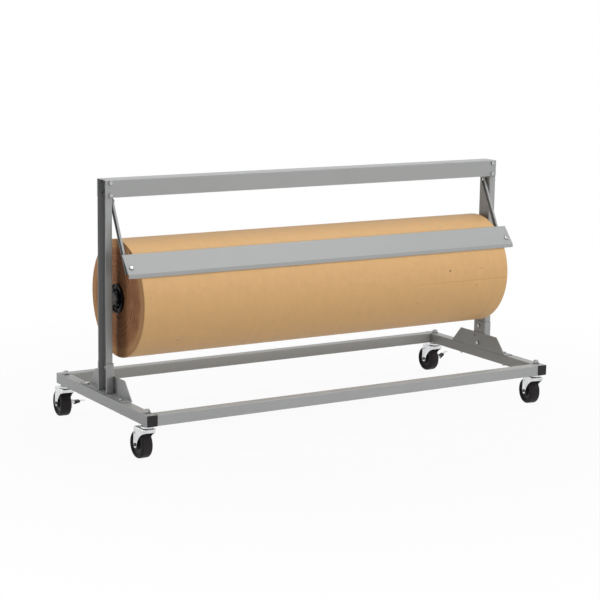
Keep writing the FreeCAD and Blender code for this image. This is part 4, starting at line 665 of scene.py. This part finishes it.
class ROLL_STAND_OT_camera(StepOperator, bpy.types.Operator):
    """Sets the camera in front of the stand and a little to its left"""

    bl_idname = "roll_stand.camera"
    bl_label = "Camera"

    def build(self, stand):
        studio = stand.studio
        data = bpy.data.cameras.new("camera")
        data.lens = studio.lens
        data.sensor_width = FILM_WIDTH
        camera = bpy.data.objects.new("camera", data)
        bpy.context.scene.collection.objects.link(camera)
        level = math.cos(studio.elevation)
        back = Vector((math.sin(studio.azimuth) * level, -math.cos(studio.azimuth) * level, 0))
        back.z = math.sin(studio.elevation)
        camera.rotation_mode = "QUATERNION"
        upright = (-back).to_track_quat("-Z", "Y")
        camera.rotation_quaternion = upright @ Quaternion((0, 0, 1), studio.tilt)
        camera.location = studio.eye
        bpy.context.scene.camera = camera


class ROLL_STAND_OT_stage(StepOperator, bpy.types.Operator):
    """Lays the floor and sets the light"""

    bl_idname = "roll_stand.stage"
    bl_label = "Stage"

    def build(self, stand):
        studio = stand.studio
        scene = bpy.context.scene
        scene.view_settings.view_transform = "Standard"
        self.lay_floor(studio)
        scene.world = self.sky(studio)
        self.hang_lamp("overhead", studio.key_place, LAMP_AIM, OVERHEAD_SIZE, studio.key)
        front = self.hang_lamp("front", studio.fill_place, LAMP_AIM, FRONT_SIZE, studio.fill)
        front.visible_glossy = False
        self.hang_lamp("behind_left", studio.side_place, ROLL_LOW, SIDE_SIZE, studio.side)

    def lay_floor(self, studio):
        shape = bmesh.new()
        bmesh.ops.create_circle(shape, cap_ends=True, segments=96, radius=FLOOR_RADIUS)
        mesh = bpy.data.meshes.new("floor")
        shape.to_mesh(mesh)
        shape.free()
        floor = bpy.data.objects.new("floor", mesh)
        bpy.context.scene.collection.objects.link(floor)
        mesh.materials.append(self.floor_finish(studio))

    @staticmethod
    def floor_finish(studio):
        """Pale matt floor that looks white away from the stand and keeps its shadow near it."""
        constants = {"Base Color": (*studio.floor, 1), "Roughness": 0.9, "Specular IOR Level": 0.0}
        finish = Finish("floor", constants)
        place = finish.place()
        cloud = finish.noise(place, per_metre=3)
        finish.feed("Roughness", finish.span(cloud, 0.3, 0.7, 0.85, 0.95))
        white = finish.span(finish.size_of(place), studio.clear, studio.faded, studio.glow, 1.0)
        glow = finish.add("ShaderNodeEmission", values={"Strength": 1.0})
        surface = Wire(finish, finish.surface.outputs[0])
        share_of_glow = finish.seen_directly() * white
        mixed = finish.add("ShaderNodeMixShader", values={0: share_of_glow, 1: surface, 2: glow})
        finish.tree.links.new(mixed.socket, finish.tree.nodes["Material Output"].inputs["Surface"])
        return finish.material

    @staticmethod
    def sky(studio):
        """Light all round, more of it from the right, behind a white backdrop."""
        world = bpy.data.worlds.new("sky")
        world.use_nodes = True
        graph = Graph(world.node_tree)
        direction = graph.add("ShaderNodeTexCoord", output=DIRECTION)
        light = graph.axis(direction, X) * studio.lean + 1.0
        strength = graph.span(graph.seen_directly(), 0, 1, light.at_least(0.0) * studio.sky, 1.0)
        backdrop = world.node_tree.nodes["Background"]
        backdrop.inputs["Color"].default_value = (1, 1, 1, 1)
        world.node_tree.links.new(strength.socket, backdrop.inputs["Strength"])
        return world

    @staticmethod
    def hang_lamp(name, place, aim, size, power):
        data = bpy.data.lights.new(name, "AREA")
        data.shape = "RECTANGLE"
        data.size, data.size_y = size
        data.energy = power
        lamp = bpy.data.objects.new(name, data)
        bpy.context.scene.collection.objects.link(lamp)
        lamp.location = place
        lamp.rotation_mode = "QUATERNION"
        lamp.rotation_quaternion = (Vector(aim) - Vector(place)).to_track_quat("-Z", "Y")
        lamp.visible_camera = False
        return lamp


class ROLL_STAND_OT_steelwork(StepOperator, bpy.types.Operator):
    """Coats the folded and welded steel with satin grey powder coat"""

    bl_idname = "roll_stand.steelwork"
    bl_label = "Painted steel"

    def build(self, stand):
        painted = paint_finish(stand.paint)
        coat({"grey_paint"}, painted)
        self.weld_base(stand.weld, painted)

    @staticmethod
    def weld_base(weld, painted):
        """A bead up the inner corner and one under each joint of the base tubes."""
        for rail, inner in (("front_rail", 1), ("rear_rail", 0)):
            low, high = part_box(rail)
            back = (low, high)[inner].y
            for side, end in (("left", low.x), ("right", high.x)):
                runs = (
                    ("corner", (0, 0, 1), (end, back, (low.z + high.z) / 2)),
                    ("under", (0, 1, 0), (end, (low.y + high.y) / 2, low.z)),
                )
                for run, direction, middle in runs:
                    half = (high.z - low.z) / 2 - weld.margin
                    radius = weld.radius if run == "corner" else weld.radius / 2
                    shape = spun(bead_outline(weld, half, radius), steps=16)
                    name = f"{side}_{rail}_{run}_weld"
                    place = laid_on(direction, middle)
                    piece(name, shape, place, [painted], "frame", sharp=50)


class ROLL_STAND_OT_metalwork(StepOperator, bpy.types.Operator):
    """Gives the fasteners, forks, shaft, axles and blade their bare or plated metal"""

    bl_idname = "roll_stand.metalwork"
    bl_label = "Plated and bare metal"

    def build(self, stand):
        metal = stand.metal
        edge = metal.edge
        for slots, name, bright, tint, roughness, spangle in (
            # The bolt zinc is darker as painted reflection.
            ({"zinc_fasteners", "steel_balls"}, "zinc_plate", metal.bolt_zinc_and_painted_reflection, metal.bolt_tint, 0.2, 140),
            ({"zinc_caster"}, "pressed_zinc_plate", metal.zinc, metal.tint, 0.2, 60),
            ({"dark_steel"}, "blackened_steel", metal.black, metal.black_tint, 0.36, 60),
        ):
            coat(slots, metal_finish(name, bright, tint, roughness, edge, spangle))
        coat({"bright_steel"}, turned_finish("turned_steel", metal.steel, roughness=0.32, edge=edge))
        coat({"blade_steel"}, turned_finish("ground_steel", metal.blade, roughness=0.3, edge=edge))


class ROLL_STAND_OT_black_parts(StepOperator, bpy.types.Operator):
    """Finishes the moulded caps, plugs and brake pads, and the board of the core"""

    bl_idname = "roll_stand.black_parts"
    bl_label = "Moulded plastic"

    def build(self, stand):
        black = stand.black
        plastic = moulded_finish(
            "moulded_plastic", black.plastic, black.edge, roughness=0.42, texture=0.00003, sheen=0.42
        )
        coat({"black_plastic"}, plastic)
        deep = moulded_finish(
            "plug_plastic", black.plug, black.edge, roughness=0.3, texture=0.00002, sheen=0.14
        )
        for side in ("left", "right"):
            NODES[f"{side}_core_plug"].material_slots[0].material = deep
        coat({"core_board"}, board_finish(stand.kraft))


class ROLL_STAND_OT_paper_roll(StepOperator, bpy.types.Operator):
    """Winds the roll of paper: rounded rims, plies that stand back unevenly and soft bands"""

    bl_idname = "roll_stand.paper_roll"
    bl_label = "Paper roll"

    def build(self, stand):
        kraft = stand.kraft
        chance = random.Random(kraft.winding)
        left = [(back - ROLL_HALF, radius) for back, radius in self.end_outline(kraft, chance)]
        right = [(ROLL_HALF - back, radius) for back, radius in self.end_outline(kraft, chance)]
        shape = spun(left + self.face_outline(kraft) + right[::-1], kraft.around)
        wound_inside = ROLL_RADIUS - kraft.rim * 0.6
        for plane in shape.faces:
            centre = plane.calc_center_median()
            plane.material_index = int(math.hypot(centre.y, centre.z) < wound_inside)
        materials = [paper_finish(kraft), wound_finish(kraft)]
        place = Matrix.Translation((0, ROLL_AXIS.y, ROLL_AXIS.z))
        roll = piece("wound_paper_roll", shape, place, materials, "roll", sharp=60)
        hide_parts("kraft_paper_roll")

    @staticmethod
    def end_outline(kraft, chance):
        """(back from the end, radius) points from the core out to the face of the roll."""
        flat = ROLL_RADIUS - kraft.rim
        step = (flat - CORE_RADIUS) / kraft.plies
        slope = step * 0.08
        points = []
        for ply in range(kraft.plies):
            back = chance.uniform(0, kraft.telescoping)
            inner = CORE_RADIUS + ply * step
            points += [(back, inner + slope), (back, inner + step - slope)]
        return points + arc((kraft.rim, flat), kraft.rim, 180, 90, 6)

    @staticmethod
    def face_outline(kraft):
        """(along, radius) points of the face, with soft bands where the winding is slacker."""
        steps = 72
        end = ROLL_HALF - 2 * kraft.rim
        points = []
        for step in range(steps + 1):
            along = -end + 2 * end * step / steps
            wave = sum(part * math.sin(along * pace + start) for pace, start, part in FACE_WAVES)
            points.append((along, ROLL_RADIUS - kraft.waves * (0.5 + 0.5 * wave)))
        return points


class ROLL_STAND_OT_wheels(StepOperator, bpy.types.Operator):
    """Models the four caster wheels: a moulded core inside a rubber tyre"""

    bl_idname = "roll_stand.wheels"
    bl_label = "Wheels"

    def build(self, stand):
        wheel = stand.wheel
        black = stand.black
        rubber = moulded_finish(
            "tyre_rubber", black.rubber, black.edge, roughness=0.4, texture=0.00001, sheen=0.1
        )
        plastic = moulded_finish(
            "wheel_core_plastic", black.core, black.edge, roughness=0.3, texture=0.00002, sheen=0.12
        )
        for corner in CORNERS:
            joint = JOINTS[f"{corner}_wheel_spin"]
            place = laid_on(joint["axis"], joint["pos_m"])
            body = f"{corner}_wheel"
            for name, outline, material in (
                ("tyre", self.tyre_outline(wheel), rubber),
                ("wheel_core", self.core_outline(wheel), plastic),
            ):
                shape = spun(outline, wheel.segments)
                made = piece(f"{corner}_{name}", shape, place, [material], body)
                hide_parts(body)

    @staticmethod
    def tyre_outline(wheel):
        """Tread, round shoulder, a hollow side wall with one ridge, and the bead."""
        half = wheel.tread / 2
        step = wheel.step
        side = wheel.radius - wheel.shoulder
        shoulder = arc((half - wheel.shoulder, side), wheel.shoulder, 90, 5, 8)
        wall = [
            (half - step / 4, side - step / 2),
            (half - step, side - step),
            (half - step, wheel.bead + 2 * step),
            (half - step / 2, wheel.bead + 1.5 * step),
            (half - step / 2, wheel.bead + step / 2),
            (half - 2 * step, wheel.bead),
        ]
        return mirrored([(step / 2, wheel.radius), *shoulder, *wall])

    @staticmethod
    def core_outline(wheel):
        """The moulded core: rim, side groove with stepped walls, web and hub."""
        rim = wheel.tread / 2 - wheel.step
        hub = wheel.hub_width / 2
        step = wheel.step
        web = wheel.tread / 2 - wheel.groove_depth
        return mirrored([
            (rim - step, wheel.bead - step / 4),
            (rim, wheel.bead - step),
            (rim, wheel.groove_outer + step / 2),
            (rim - step / 2, wheel.groove_outer),
            (web + step / 4, wheel.groove_outer - step / 2),
            (web, wheel.groove_outer - step),
            (web, wheel.groove_inner + 1.9 * step),
            (web + step / 2, wheel.groove_inner + 1.7 * step),
            (web + step / 2, wheel.groove_inner + 1.2 * step),
            (web, wheel.groove_inner + step),
            (web + step / 4, wheel.groove_inner + step / 2),
            (rim - step / 2, wheel.groove_inner),
            (rim, wheel.groove_inner - step / 2),
            (rim, wheel.hub + step),
            (hub - step / 2, wheel.hub),
            (hub, wheel.hub - step / 2),
            (hub, wheel.bore),
        ])


class ROLL_STAND_PT_panel(bpy.types.Panel):
    """Lists the steps in the sidebar of the 3D view"""

    bl_label = "Roll Stand"
    bl_space_type = "VIEW_3D"
    bl_region_type = "UI"
    bl_category = "Roll Stand"

    def draw(self, context):
        for step in STEPS:
            self.layout.operator(step.bl_idname)
        stand = context.scene.roll_stand
        for group in StandSettings.__annotations__:
            box = self.layout.box()
            values = getattr(stand, group)
            for name in type(values).__annotations__:
                box.prop(values, name)


STEPS = (
    ROLL_STAND_OT_camera,
    ROLL_STAND_OT_stage,
    ROLL_STAND_OT_steelwork,
    ROLL_STAND_OT_metalwork,
    ROLL_STAND_OT_black_parts,
    ROLL_STAND_OT_paper_roll,
    ROLL_STAND_OT_wheels,
)
GROUPS = (SteelPaint, Kraft, Metal, Black, Wheel, Weld, Studio, StandSettings)
CLASSES = (*GROUPS, *STEPS, ROLL_STAND_PT_panel)


def register():
    for each in CLASSES:
        bpy.utils.register_class(each)
    bpy.types.Scene.roll_stand = PointerProperty(type=StandSettings)


def unregister():
    del bpy.types.Scene.roll_stand
    for each in reversed(CLASSES):
        bpy.utils.unregister_class(each)


def main():
    """Builds everything."""
    register()
    for step in STEPS:
        group, name = step.bl_idname.split(".")
        getattr(getattr(bpy.ops, group), name)()


if __name__ == "__main__":
    main()
